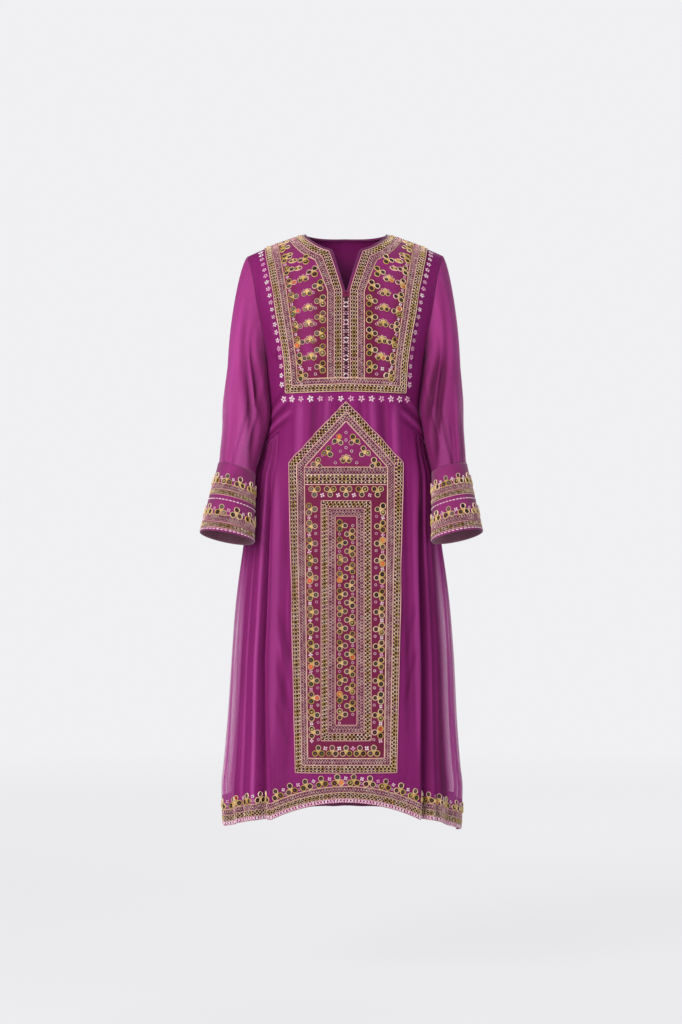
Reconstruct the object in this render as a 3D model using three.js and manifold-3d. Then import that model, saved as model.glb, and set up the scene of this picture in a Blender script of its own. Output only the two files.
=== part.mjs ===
// Embroidered dress, hollow as it is worn: straight front and back panels with gathered side gores,
// long sleeves with flared cuffs, and a yoke and a pointed pocket panel laid on the front.
// Millimetres, +Z up. +X is the wearer's left and the front faces -Y.
// The origin is the middle of the neck at the height of the high shoulder points.
import * as THREE from 'three';
import { mergeVertices } from 'three/addons/utils/BufferGeometryUtils.js';
import Module from 'manifold-3d';

const wasm = await Module();
wasm.setup();

// Walls and seams
const clothWall = 1;
const appliedWall = 1.4;
const cuffWall = 2;
const seamGap = 0.3;
const prismMargin = 5;

// Shoulder line: it falls from the neck to the sleeve by a power of the distance from the middle
const shoulderHalf = 200;
const shoulderFall = 58.5;
const shoulderPower = 1.6;

// Upper rows, from the shoulder line down to the underarm. down: cloth length from the shoulder line,
// level: height at the middle, depth: reach from the shoulder plane, edge and set: where the armhole
// edge lies sideways and forward, slope: share of the shoulder's fall, square: squareness of the ring.
const frontRows = [
  { down: 0, level: 13.5, depth: 0, edge: 200, set: 0, slope: 1, square: 2.5 },
  { down: 30, level: 3.5, depth: 28, edge: 196, set: 10, slope: 0.97, square: 2.5 },
  { down: 60, level: -13, depth: 52, edge: 192, set: 22, slope: 0.92, square: 2.5 },
  { down: 90, level: -36, depth: 71, edge: 187, set: 33, slope: 0.85, square: 2.5 },
  { down: 120, level: -62, depth: 85, edge: 183, set: 40, slope: 0.75, square: 2.5 },
  { down: 160, level: -99, depth: 100, edge: 178, set: 44, slope: 0.6, square: 2.5 },
  { down: 200, level: -137.5, depth: 111, edge: 173, set: 45, slope: 0.42, square: 2.45 },
  { down: 240, level: -177, depth: 117.5, edge: 167, set: 42, slope: 0.24, square: 2.4 },
  { down: 280, level: -217, depth: 121, edge: 162, set: 31, slope: 0.1, square: 2.35 },
  { down: 305, level: -242, depth: 122, edge: 159.5, set: 17, slope: 0.03, square: 2.35 },
  { down: 321, level: -258, depth: 122, edge: 158, set: 0, slope: 0, square: 2.35 },
];
const backRows = [
  { down: 0, level: 13.5, depth: 0, edge: 200, set: 0, slope: 1, square: 2.5 },
  { down: 30, level: 6, depth: 27, edge: 196, set: 9, slope: 0.97, square: 2.5 },
  { down: 60, level: -9, depth: 52, edge: 192, set: 20, slope: 0.92, square: 2.5 },
  { down: 90, level: -31, depth: 72, edge: 189, set: 30, slope: 0.85, square: 2.5 },
  { down: 120, level: -57, depth: 86, edge: 186, set: 36, slope: 0.75, square: 2.5 },
  { down: 160, level: -94, depth: 99, edge: 182, set: 40, slope: 0.6, square: 2.5 },
  { down: 200, level: -132.5, depth: 107, edge: 177, set: 41, slope: 0.42, square: 2.45 },
  { down: 240, level: -172, depth: 111, edge: 170, set: 38, slope: 0.24, square: 2.4 },
  { down: 280, level: -212, depth: 112, edge: 164, set: 28, slope: 0.1, square: 2.35 },
  { down: 305, level: -237, depth: 112, edge: 160, set: 15, slope: 0.03, square: 2.35 },
  { down: 326, level: -258, depth: 112, edge: 158, set: 0, slope: 0, square: 2.35 },
];

// Lower rings, from the underarm to the hem: half widths to the wearer's right and left, front and
// back depths, and squareness.
const underarmLevel = -258;
const bodyRings = [
  { level: -258, right: 158, left: 155, front: 122, back: 112, square: 2.35 },
  { level: -302, right: 151, left: 147, front: 115, back: 105, square: 2.35 },
  { level: -353, right: 147, left: 143, front: 108, back: 100, square: 2.35 },
  { level: -389, right: 152, left: 151, front: 107, back: 102, square: 2.35 },
  { level: -419, right: 161, left: 156, front: 108, back: 107, square: 2.3 },
  { level: -447, right: 168, left: 161, front: 110, back: 113, square: 2.3 },
  { level: -472, right: 175, left: 167, front: 112, back: 119, square: 2.3 },
  { level: -504, right: 183, left: 173, front: 116, back: 126, square: 2.25 },
  { level: -610, right: 203, left: 190, front: 127, back: 135, square: 2.2 },
  { level: -732, right: 219, left: 206, front: 138, back: 141, square: 2.2 },
  { level: -841, right: 228, left: 215, front: 145, back: 146, square: 2.2 },
  { level: -974, right: 237, left: 221, front: 152, back: 152, square: 2.2 },
  { level: -1066, right: 245, left: 228, front: 157, back: 156, square: 2.2 },
  { level: -1113, right: 249, left: 233, front: 160, back: 158, square: 2.2 },
  { level: -1240, right: 243, left: 228, front: 164, back: 162, square: 2.2 },
];

// Long edges of the front and back panels, half widths at each level
const panelEdges = [
  { level: -397, right: 131, left: 134 },
  { level: -460, right: 133, left: 139 },
  { level: -490, right: 137, left: 141 },
  { level: -615, right: 146, left: 142 },
  { level: -778, right: 151, left: 145 },
  { level: -860, right: 154, left: 147 },
  { level: -1040, right: 150, left: 146 },
  { level: -1240, right: 145, left: 144 },
];
const goreTopAtEdge = -397;
const goreTopAtSide = -447;

// Hem levels
const hemFrontMiddle = -1127;
const hemFrontEdge = -1163;
const hemSide = { right: -1189, left: -1197 };
const hemBackMiddle = -1168;
const hemBackEdge = -1174;
const facingHeight = 60;
const facingInset = 3;

// Neck opening, as finished: half an ellipse at the front, a shallower one behind, and a slit
const neckHalf = 81;
const neckDropFront = 93;
const neckDropBack = 52;
const slitHalf = 27;
const slitCorner = 6;
const slitTip = 182;
const slitTipRadius = 1.6;
const bindingRadius = 2.4;
const bindingSides = 6;

// Yoke: half widths at each length down, cloth measure; it ends 0.3 mm short of the shoulder seam
const yokeEdge = [
  { down: 0.4, half: 170 },
  { down: 60, half: 166 },
  { down: 112, half: 158 },
  { down: 165, half: 150 },
  { down: 215, half: 144 },
  { down: 275, half: 136 },
  { down: 330, half: 129 },
  { down: 386, half: 127 },
];
const yokeBottomArch = 3;

// Pocket panel: an apex, two shoulders and a straight foot, slightly narrower than the shoulders
const pocketApex = 401;
const pocketShoulder = { down: 523, half: 116 };
const pocketFoot = { down: 1133, half: 100.5 };

// Sleeve rings, hung from the armholes. outer and inner: distance from the middle of the body,
// forward: how far the ring's middle lies in front, depth: front to back, sideTilt and frontTilt:
// how much lower the inner and the back edge lie than the edge opposite.
const sleeveRings = {
  right: [
    { level: -266, outer: 234, inner: 163, forward: 8, depth: 106, sideTilt: 0, frontTilt: 0 },
    { level: -317, outer: 240, inner: 161, forward: 19, depth: 107, sideTilt: 4, frontTilt: 4 },
    { level: -360, outer: 245, inner: 161, forward: 29, depth: 105, sideTilt: 8, frontTilt: 8 },
    { level: -403, outer: 248, inner: 168, forward: 41, depth: 102, sideTilt: 14, frontTilt: 12 },
    { level: -440, outer: 251, inner: 176, forward: 52, depth: 100, sideTilt: 19, frontTilt: 15 },
    { level: -474, outer: 254, inner: 181, forward: 64, depth: 98, sideTilt: 23, frontTilt: 17 },
    { level: -540, outer: 271, inner: 182, forward: 79, depth: 110, sideTilt: 22, frontTilt: 20 },
    { level: -609, outer: 289, inner: 183, forward: 92, depth: 122, sideTilt: 20, frontTilt: 23 },
  ],
  left: [
    { level: -266, outer: 226, inner: 160, forward: 8, depth: 106, sideTilt: 0, frontTilt: 0 },
    { level: -317, outer: 230, inner: 156, forward: 19, depth: 107, sideTilt: 3, frontTilt: 4 },
    { level: -360, outer: 233, inner: 156, forward: 30, depth: 105, sideTilt: 6, frontTilt: 8 },
    { level: -403, outer: 236, inner: 161, forward: 44, depth: 102, sideTilt: 10, frontTilt: 12 },
    { level: -440, outer: 238, inner: 168, forward: 57, depth: 100, sideTilt: 13, frontTilt: 15 },
    { level: -472, outer: 240, inner: 171, forward: 70, depth: 98, sideTilt: 16, frontTilt: 17 },
    { level: -540, outer: 255, inner: 171, forward: 86, depth: 110, sideTilt: 18, frontTilt: 20 },
    { level: -607, outer: 270, inner: 170, forward: 98, depth: 122, sideTilt: 20, frontTilt: 23 },
  ],
};
const sleeveColumns = 24;
const armholeCrowding = 1.5;
const armholeGap = 0.9;
const capRows = 5;
const underarmLift = 7;
const underarmShare = (column) => Math.sin((Math.PI * column) / sleeveColumns) ** 6;
const capBulge = 0.75;
const capDrop = 0.2;
const cuffTopIndex = 5;

// Folds of the gores. at: place across, 0 at the front panel and 1 at the back panel, wide: half
// width, deep: how far the trough sinks, from and full: shares of the length where it starts and is full.
const goreFolds = {
  right: [
    { at: 0.075, wide: 0.07, deep: 23, from: 0.02, full: 0.35 },
    { at: 0.31, wide: 0.08, deep: 9, from: 0.08, full: 0.6 },
    { at: 0.47, wide: 0.06, deep: 5, from: 0.3, full: 0.8 },
    { at: 0.64, wide: 0.08, deep: 10, from: 0.1, full: 0.6 },
    { at: 0.79, wide: 0.06, deep: 13, from: 0.05, full: 0.5 },
    { at: 0.925, wide: 0.07, deep: 20, from: 0.02, full: 0.4 },
  ],
  left: [
    { at: 0.055, wide: 0.055, deep: 20, from: 0.02, full: 0.3 },
    { at: 0.24, wide: 0.08, deep: 12, from: 0.06, full: 0.5 },
    { at: 0.43, wide: 0.07, deep: 6, from: 0.3, full: 0.8 },
    { at: 0.6, wide: 0.07, deep: 9, from: 0.12, full: 0.7 },
    { at: 0.76, wide: 0.07, deep: 14, from: 0.05, full: 0.5 },
    { at: 0.93, wide: 0.065, deep: 18, from: 0.02, full: 0.4 },
  ],
};
const gathers = { count: 10, deep: 5, end: 0.3 };
const goreColumns = 36;
const goreRows = [0, 0.015, 0.045, 0.09, 0.15, 0.23, 0.33, 0.45, 0.58, 0.71, 0.82, 0.92, 1];

// Soft folds of the back panel below the waist: at is measured across from the centre back
const backFolds = [
  { at: -92, wide: 22, deep: 11, from: 430, full: 900 },
  { at: -31, wide: 26, deep: 8, from: 500, full: 1000 },
  { at: 24, wide: 22, deep: 10, from: 440, full: 950 },
  { at: 88, wide: 24, deep: 12, from: 420, full: 850 },
];

// Long diagonal trough of each sleeve, from the front of the cap to the inside of the cuff
const sleeveTrough = { start: 0.13, end: 0.4, wide: 0.07, deep: 5 };

// Grid lines across and down the two panels
const columnStep = 22;
const columnReach = 11;
const frontUpperDowns = [0, 15, 32, 52, 76, 105, 140, 185, 235, 280, 321, 355, 386, 420];
const backUpperDowns = [0, 20, 42, 70, 105, 150, 205, 255, 290, 326, 370, 420];
const hemMargin = 14;

const magentaCloth = new THREE.MeshStandardMaterial({ color: 0x8a2a70, roughness: 0.72, metalness: 0 });
const wineGround = new THREE.MeshStandardMaterial({ color: 0x7a3a52, roughness: 0.8, metalness: 0 });
const plumBinding = new THREE.MeshStandardMaterial({ color: 0x4d1540, roughness: 0.6, metalness: 0 });

// Smooth value of one column of a table at a place along it
function along(table, key, at, column) {
  const last = table.length - 1;
  const sign = Math.sign(table[last][key] - table[0][key]);
  let i = 0;
  while (i < last - 1 && sign * (at - table[i + 1][key]) > 0) {
    i += 1;
  }
  const slopeAt = (k) => {
    const before = table[Math.max(k - 1, 0)];
    const after = table[Math.min(k + 1, last)];
    return (after[column] - before[column]) / (after[key] - before[key]);
  };
  const run = table[i + 1][key] - table[i][key];
  const u = (at - table[i][key]) / run;
  if (u <= 0 || u >= 1) {
    return table[u <= 0 ? i : i + 1][column];
  }
  const start = table[i][column];
  const end = table[i + 1][column];
  return start * (1 + 2 * u) * (1 - u) ** 2 + end * u * u * (3 - 2 * u)
    + run * (slopeAt(i) * u * (1 - u) ** 2 - slopeAt(i + 1) * u * u * (1 - u));
}

const ease = (x) => {
  const u = Math.min(Math.max(x, 0), 1);
  return u * u * (3 - 2 * u);
};
const troughShape = (distance, wide) => (Math.abs(distance) < wide
  ? 0.5 + 0.5 * Math.cos((Math.PI * distance) / wide)
  : 0);

// A panel's side: front faces -Y and back +Y. Across is measured to the right of someone facing it.
const sides = {
  front: { rows: frontRows, facing: -1, depth: 'front' },
  back: { rows: backRows, facing: 1, depth: 'back' },
};
const handOf = (side, across) => (side.facing * across > 0 ? 'right' : 'left');
const underarmDown = (side) => side.rows[side.rows.length - 1].down;
const downAt = (side, level) => underarmDown(side) + underarmLevel - level;
const shoulderDrop = (x) => -shoulderFall * (Math.abs(x) / shoulderHalf) ** shoulderPower;

// Half a ring, from the middle out to the armhole edge or the side seam, sampled evenly in angle
const samplesPerHalf = 60;
const rowCache = new Map();
function rowOf(side, down, hand) {
  const name = `${side.depth} ${down} ${hand}`;
  if (rowCache.has(name)) {
    return rowCache.get(name);
  }
  const narrower = bodyRings[0][hand] / bodyRings[0].right;
  let ring;
  if (down <= underarmDown(side)) {
    const read = (column) => along(side.rows, 'down', down, column);
    const share = read('depth') > 0 ? read('set') / read('depth') : 0;
    const square = read('square');
    ring = {
      level: read('level'),
      slope: read('slope'),
      depth: read('depth'),
      square,
      half: (read('edge') * narrower) / (1 - share ** square) ** (1 / square),
      stop: Math.acos(share ** (square / 2)),
    };
  } else {
    const level = underarmLevel - (down - underarmDown(side));
    const read = (column) => along(bodyRings, 'level', level, column);
    ring = {
      level,
      slope: 0,
      depth: read(side.depth),
      square: read('square'),
      half: read(hand),
      stop: Math.PI / 2,
    };
  }
  const sign = (hand === 'left' ? 1 : -1);
  const points = [];
  const lengths = [0];
  for (let k = 0; k <= samplesPerHalf; k += 1) {
    const angle = (ring.stop * k) / samplesPerHalf;
    const x = sign * ring.half * Math.max(Math.sin(angle), 0) ** (2 / ring.square);
    const y = side.facing * ring.depth * Math.max(Math.cos(angle), 0) ** (2 / ring.square);
    points.push(new THREE.Vector3(x, y, ring.level + ring.slope * shoulderDrop(x)));
    if (k > 0) {
      lengths.push(lengths[k - 1] + points[k].distanceTo(points[k - 1]));
    }
  }
  rowCache.set(name, { points, lengths });
  return rowCache.get(name);
}
const edgeLength = (side, down, hand) => rowOf(side, down, hand).lengths[samplesPerHalf];

// Cloth length from the middle of a row to the place that lies so far sideways
function acrossOf(side, down, hand, x) {
  const { points, lengths } = rowOf(side, down, hand);
  const k = points.findIndex((point) => Math.abs(point.x) >= x);
  const run = (x - Math.abs(points[k - 1].x)) / (Math.abs(points[k].x) - Math.abs(points[k - 1].x));
  return lengths[k - 1] + run * (lengths[k] - lengths[k - 1]);
}

// Point of a side's ring. Past the edge it runs straight on.
function ringPoint(side, across, down) {
  const { points, lengths } = rowOf(side, Math.max(down, 0), handOf(side, across));
  const reach = Math.abs(across);
  let k = 1;
  while (k < samplesPerHalf && lengths[k] < reach) {
    k += 1;
  }
  const run = (reach - lengths[k - 1]) / (lengths[k] - lengths[k - 1]);
  return points[k - 1].clone().lerp(points[k], run);
}

// Point of a panel's smooth surface: its ring, with the soft folds of the back
function surfacePoint(side, across, down) {
  const point = ringPoint(side, across, down);
  if (side.facing > 0) {
    for (const fold of backFolds) {
      const sunk = fold.deep * ease((down - fold.from) / (fold.full - fold.from));
      point.y -= sunk * troughShape(across - fold.at, fold.wide);
    }
  }
  return point;
}

const differenceStep = 2;
function surfaceNormal(side, across, down) {
  const sideways = surfacePoint(side, across + differenceStep, down)
    .sub(surfacePoint(side, across - differenceStep, down));
  const above = Math.max(down - differenceStep, 0);
  const upward = surfacePoint(side, across, above).sub(surfacePoint(side, across, down + differenceStep));
  const normal = sideways.cross(upward);
  if (down === 0) {
    normal.y = 0;
  }
  return normal.normalize();
}

// The two panels as grids: everything cut from one grid lies exactly parallel to it
function layGrid(side, downs) {
  const acrosses = [];
  for (let i = -columnReach; i <= columnReach; i += 1) {
    acrosses.push(i * columnStep);
  }
  const points = downs.map((down) => acrosses.map((across) => surfacePoint(side, across, down)));
  const normals = downs.map((down) => acrosses.map((across) => surfaceNormal(side, across, down)));
  return { side, acrosses, downs, points, normals };
}

// Grid lines down a panel: its upper ones, then one at each row of the gores, and one past the hem
function downsOf(side, upperDowns, hemEdge) {
  const lower = goreRows.map((share) => downAt(side, goreEdgeLevel(hemEdge, share)));
  return [...upperDowns, ...lower, lower[lower.length - 1] + hemMargin];
}

const cellOf = (lines, at) => {
  let i = 0;
  while (i < lines.length - 2 && lines[i + 1] <= at) {
    i += 1;
  }
  return { i, share: (at - lines[i]) / (lines[i + 1] - lines[i]) };
};

// Place on a grid, out along its normals. Each cell is split by its falling diagonal.
function onGrid(grid, across, down, out) {
  const column = cellOf(grid.acrosses, across);
  const row = cellOf(grid.downs, down);
  const corner = (field, r, c) => grid[field][row.i + r][column.i + c];
  const mix = (field) => {
    const lower = row.share > column.share;
    const third = lower ? corner(field, 1, 0) : corner(field, 0, 1);
    const shares = lower
      ? [1 - row.share, row.share - column.share, column.share]
      : [1 - column.share, column.share - row.share, row.share];
    return corner(field, 0, 0).clone().multiplyScalar(shares[0])
      .addScaledVector(third, shares[1])
      .addScaledVector(corner(field, 1, 1), shares[2]);
  };
  return mix('points').addScaledVector(mix('normals'), out);
}

const signedVolume = (positions, triangles) => {
  const corner = new THREE.Vector3();
  const at = (k) => new THREE.Vector3().fromArray(positions, 3 * triangles[k]);
  let sum = 0;
  for (let k = 0; k < triangles.length; k += 3) {
    sum += corner.crossVectors(at(k), at(k + 1)).dot(at(k + 2));
  }
  return sum;
};

// Geometry from positions and triangles, turned to face outwards
function closedGeometry(positions, triangles) {
  const outward = signedVolume(positions, triangles) > 0;
  const index = [];
  for (let k = 0; k < triangles.length; k += 3) {
    index.push(triangles[k], triangles[k + (outward ? 1 : 2)], triangles[k + (outward ? 2 : 1)]);
  }
  const geometry = new THREE.BufferGeometry();
  geometry.setAttribute('position', new THREE.Float32BufferAttribute(positions, 3));
  geometry.setIndex(index);
  geometry.computeVertexNormals();
  return geometry;
}

// Wall between an inner and an outer layer of points, open or closed round into a tube
function wallGeometry(inner, outer, tube) {
  const rows = inner.length;
  const columns = inner[0].length;
  const positions = [];
  for (const layer of [inner, outer]) {
    for (const row of layer) {
      for (const point of row) {
        positions.push(point.x, point.y, point.z);
      }
    }
  }
  const vertex = (layer, r, c) => (layer * rows + r) * columns + (c % columns);
  const triangles = [];
  const quad = (a, b, c, d) => triangles.push(a, b, c, a, c, d);
  const cells = tube ? columns : columns - 1;
  for (let r = 0; r < rows - 1; r += 1) {
    for (let c = 0; c < cells; c += 1) {
      quad(vertex(1, r, c), vertex(1, r + 1, c), vertex(1, r + 1, c + 1), vertex(1, r, c + 1));
      triangles.push(
        vertex(0, r, c), vertex(0, r + 1, c + 1), vertex(0, r + 1, c),
        vertex(0, r, c), vertex(0, r, c + 1), vertex(0, r + 1, c + 1),
      );
    }
    if (!tube) {
      quad(vertex(0, r, 0), vertex(0, r + 1, 0), vertex(1, r + 1, 0), vertex(1, r, 0));
      quad(vertex(1, r, cells), vertex(1, r + 1, cells), vertex(0, r + 1, cells), vertex(0, r, cells));
    }
  }
  for (let c = 0; c < cells; c += 1) {
    quad(vertex(0, 0, c), vertex(1, 0, c), vertex(1, 0, c + 1), vertex(0, 0, c + 1));
    quad(vertex(1, rows - 1, c), vertex(0, rows - 1, c),
      vertex(0, rows - 1, c + 1), vertex(1, rows - 1, c + 1));
  }
  return closedGeometry(positions, triangles);
}

// A closed mesh as a solid; each triangle keeps its own number, so that flat cells aren't joined
function solidOf(geometry) {
  const bare = geometry.clone();
  bare.deleteAttribute('normal');
  bare.deleteAttribute('uv');
  const merged = mergeVertices(bare, 1e-5);
  const triVerts = new Uint32Array(merged.index.array);
  return new wasm.Manifold(new wasm.Mesh({
    numProp: 3,
    vertProperties: new Float32Array(merged.attributes.position.array),
    triVerts,
    faceID: Uint32Array.from({ length: triVerts.length / 3 }, (_, k) => k),
  }));
}

// Flat slab of a grid's cells, across by up by out
function flatSlab(grid, from, to) {
  const layer = (out) => grid.downs.map((down) => grid.acrosses
    .map((across) => new THREE.Vector3(across, -down, out)));
  return solidOf(wallGeometry(layer(from), layer(to), false));
}

function prismOf(points, from, to) {
  const depth = to - from + 2 * prismMargin;
  const prism = new THREE.ExtrudeGeometry(new THREE.Shape(points), { depth, bevelEnabled: false });
  prism.translate(0, 0, from - prismMargin);
  return solidOf(prism);
}

// A piece cut flat from a grid by its outline, less any openings, then draped on the form
function cutAndDrape(grid, outline, openings, from, to) {
  let flat = flatSlab(grid, from, to).intersect(prismOf(outline, from, to));
  for (const opening of openings) {
    flat = flat.subtract(prismOf(opening, from, to));
  }
  const mesh = flat.getMesh();
  const positions = [];
  for (let k = 0; k < mesh.vertProperties.length; k += mesh.numProp) {
    const [across, up, out] = mesh.vertProperties.slice(k, k + 3);
    positions.push(...onGrid(grid, across, -up, out).toArray());
  }
  return closedGeometry(positions, Array.from(mesh.triVerts));
}

const flatPoint = (across, down) => new THREE.Vector2(across, -down);
const mirrored = (points) => points.map((point) => new THREE.Vector2(-point.x, point.y)).reverse();

// Where a gore's line lies on a side: share 0 at the panel's edge and 1 at the side of the body
function goreAcross(side, hand, share, level) {
  const down = downAt(side, level);
  const edge = acrossOf(side, down, hand, along(panelEdges, 'level', level, hand));
  return edge + (edgeLength(side, down, hand) - edge) * share;
}
const goreTop = (share) => THREE.MathUtils.lerp(goreTopAtEdge, goreTopAtSide, share);
const goreEdgeLevel = (hemEdge, share) => THREE.MathUtils.lerp(goreTopAtEdge - seamGap, hemEdge, share);
const tuckSteps = 10;

// Lengths down the armhole where the panels' outlines and the sleeves' columns have their points
const armholeDowns = (side) => Array.from({ length: sleeveColumns / 2 + 1 }, (_, k) => (
  underarmDown(side) * (1 - (1 - (2 * k) / sleeveColumns) ** armholeCrowding)));

// Half outline of a panel, from the shoulder seam down to the middle of the hem
function panelHalf(side, downs, hand, hemMiddle, hemEdge) {
  const points = [flatPoint(edgeLength(side, 0, hand), seamGap / 2)];
  for (const down of armholeDowns(side).slice(1, -1)) {
    points.push(flatPoint(edgeLength(side, down, hand), down));
  }
  const sideEnd = downAt(side, goreTopAtSide);
  for (const down of downs.filter((d) => d >= underarmDown(side) && d < sideEnd - 1)) {
    points.push(flatPoint(edgeLength(side, down, hand) - seamGap / 2, down));
  }
  for (let k = tuckSteps; k >= 0; k -= 1) {
    const level = goreTop(k / tuckSteps);
    const inset = k === tuckSteps ? seamGap / 2 : 0;
    points.push(flatPoint(goreAcross(side, hand, k / tuckSteps, level) - inset, downAt(side, level)));
  }
  for (const share of goreRows.slice(0, -1)) {
    const level = goreEdgeLevel(hemEdge, share);
    points.push(flatPoint(goreAcross(side, hand, 0, level), downAt(side, level)));
  }
  return points.concat(hemLine(side, hand, hemMiddle, hemEdge, 0, 0));
}

// Hem of a panel from its edge to the middle, higher in the middle, raised and drawn in if asked
const hemSteps = 6;
function hemLine(side, hand, hemMiddle, hemEdge, raise, inset) {
  const edge = goreAcross(side, hand, 0, hemEdge) - inset;
  const points = [];
  for (let k = hemSteps; k > 0; k -= 1) {
    const share = k / hemSteps;
    const level = hemMiddle + (hemEdge - hemMiddle) * share * share;
    points.push(flatPoint(edge * share, downAt(side, level) - raise));
  }
  return points;
}

// Whole outline of a side from its two halves, each drawn on the positive side
function wholeOutline(side, halfOf) {
  const [positive, negative] = side.facing < 0 ? ['left', 'right'] : ['right', 'left'];
  return halfOf(positive).concat(mirrored(halfOf(negative)));
}

// Finished edge of the neck opening on one side, with its slit at the front, left to right
function neckEdge(side, outward) {
  const half = new THREE.Path();
  const divisions = 4;
  const front = side.facing < 0;
  const drop = (front ? neckDropFront : neckDropBack) + outward;
  const wide = neckHalf + outward;
  if (!front) {
    half.absellipse(0, 0, wide, drop, 0, -Math.PI / 2, true);
    const points = half.getPoints(divisions);
    return mirrored(points).reverse().concat(points.reverse().slice(1));
  }
  const slit = slitHalf + outward;
  const corner = slit + slitCorner;
  const turn = Math.acos(corner / wide);
  half.absellipse(0, 0, wide, drop, 0, -turn, true);
  const cornerDown = drop * Math.sqrt(1 - (slit / wide) ** 2);
  half.quadraticCurveTo(slit, -cornerDown, slit - 1, -cornerDown - slitCorner);
  const tipRadius = slitTipRadius + outward;
  const lean = Math.asin((slitHalf - slitTipRadius) / (slitTip - cornerDown));
  const mouth = half.currentPoint.clone();
  const tip = new THREE.Vector2(tipRadius * Math.cos(lean), -slitTip + slitTipRadius - tipRadius * Math.sin(lean));
  for (let k = 1; k <= divisions; k += 1) {
    const place = mouth.clone().lerp(tip, k / divisions);
    half.lineTo(place.x, place.y);
  }
  half.absarc(0, -slitTip + slitTipRadius, tipRadius, -lean, -Math.PI / 2, true);
  const points = half.getPoints(divisions)
    .filter((point, k, all) => k === 0 || point.distanceTo(all[k - 1]) > 0.2);
  return mirrored(points).reverse().concat(points.reverse().slice(1));
}

// The opening cut in a side, closed above the shoulder line
function neckCut(side) {
  const cut = neckEdge(side, 2 * bindingRadius + 1.5 * seamGap);
  const above = flatPoint(0, -prismMargin);
  const first = cut[0];
  const last = cut[cut.length - 1];
  return [new THREE.Vector2(first.x, above.y), ...cut, new THREE.Vector2(last.x, above.y)];
}

const frontDowns = downsOf(sides.front, frontUpperDowns, hemFrontEdge);
const backDowns = downsOf(sides.back, backUpperDowns, hemBackEdge);
const grids = {
  front: layGrid(sides.front, frontDowns),
  back: layGrid(sides.back, backDowns),
};

const dress = new THREE.Group();
function addPiece(name, geometry, material) {
  const piece = new THREE.Mesh(geometry, material);
  piece.name = name;
  dress.add(piece);
}

function addPanels() {
  const front = wholeOutline(sides.front, (hand) => panelHalf(sides.front, frontDowns, hand,
    hemFrontMiddle, hemFrontEdge));
  const back = wholeOutline(sides.back, (hand) => panelHalf(sides.back, backDowns, hand,
    hemBackMiddle, hemBackEdge));
  addPiece('front_panel', cutAndDrape(grids.front, front, [neckCut(sides.front)], 0, clothWall),
    magentaCloth);
  addPiece('back_panel', cutAndDrape(grids.back, back, [neckCut(sides.back)], 0, clothWall),
    magentaCloth);
}

function addYokeAndPocket() {
  const from = clothWall + seamGap;
  const half = yokeEdge.map(({ down, half: reach }) => flatPoint(reach, down));
  const foot = yokeEdge[yokeEdge.length - 1];
  half.push(flatPoint(foot.half / 2, foot.down - yokeBottomArch));
  addPiece('yoke_panel', cutAndDrape(grids.front, half.concat(mirrored(half)), [neckCut(sides.front)],
    from, from + appliedWall), wineGround);
  const pocket = [
    flatPoint(0, pocketApex),
    flatPoint(pocketShoulder.half, pocketShoulder.down),
    flatPoint(pocketFoot.half, pocketFoot.down),
    flatPoint(-pocketFoot.half, pocketFoot.down),
    flatPoint(-pocketShoulder.half, pocketShoulder.down),
  ];
  addPiece('pocket_panel', cutAndDrape(grids.front, pocket, [], from, from + appliedWall), wineGround);
}

// Facings inside the hems of the two panels
function addPanelFacings() {
  const hems = {
    front: [hemFrontMiddle, hemFrontEdge],
    back: [hemBackMiddle, hemBackEdge],
  };
  for (const [name, side] of Object.entries(sides)) {
    const outline = wholeOutline(side, (hand) => {
      const upper = hemLine(side, hand, ...hems[name], facingHeight, facingInset);
      const lower = hemLine(side, hand, ...hems[name], 1, facingInset);
      return upper.reverse().concat(lower);
    });
    addPiece(`hem_facing_${name}`, cutAndDrape(grids[name], outline, [], -seamGap - clothWall, -seamGap),
      wineGround);
  }
}

// Smooth surface of a gore, folds included, from the front panel's edge to the back panel's
function gorePoint(hand, across, share) {
  const side = across <= 0.5 ? sides.front : sides.back;
  const fromEdge = across <= 0.5 ? 2 * across : 2 - 2 * across;
  const top = goreTop(fromEdge) - seamGap * (1 + fromEdge);
  const panelHem = across <= 0.5 ? hemFrontEdge : hemBackEdge;
  const hem = THREE.MathUtils.lerp(panelHem, hemSide[hand], ease(fromEdge));
  const level = THREE.MathUtils.lerp(top, hem, share);
  const down = downAt(side, level);
  const seam = fromEdge === 0 ? seamGap : 0;
  const length = goreAcross(side, hand, fromEdge, level) + seam;
  const sign = side.facing * (hand === 'right' ? 1 : -1);
  const point = ringPoint(side, sign * length, down);
  const ahead = ringPoint(side, sign * (length + 1), down);
  const behind = ringPoint(side, sign * (length - 1), down);
  const inward = new THREE.Vector3(behind.y - ahead.y, ahead.x - behind.x, 0).normalize();
  if (inward.dot(point) > 0) {
    inward.negate();
  }
  let sunk = 0;
  for (const fold of goreFolds[hand]) {
    sunk += fold.deep * ease((share - fold.from) / (fold.full - fold.from))
      * troughShape(across - fold.at, fold.wide);
  }
  const fade = ease(share / 0.02 + 0.15) * (1 - ease(share / gathers.end));
  sunk += gathers.deep * fade * (0.5 - 0.5 * Math.cos(2 * Math.PI * gathers.count * across));
  return point.addScaledVector(inward, sunk);
}

// Rows of points and of outward normals on a surface given by a function of two shares
function sampled(pointOf, rowShares, columnShares, normalOf) {
  const points = rowShares.map((r) => columnShares.map((c) => pointOf(c, r)));
  const normals = rowShares.map((r) => columnShares.map((c) => normalOf(c, r)));
  return { points, normals };
}
const layerOf = ({ points, normals }, out) => points.map((row, r) => row
  .map((point, c) => point.clone().addScaledVector(normals[r][c], out)));

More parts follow.
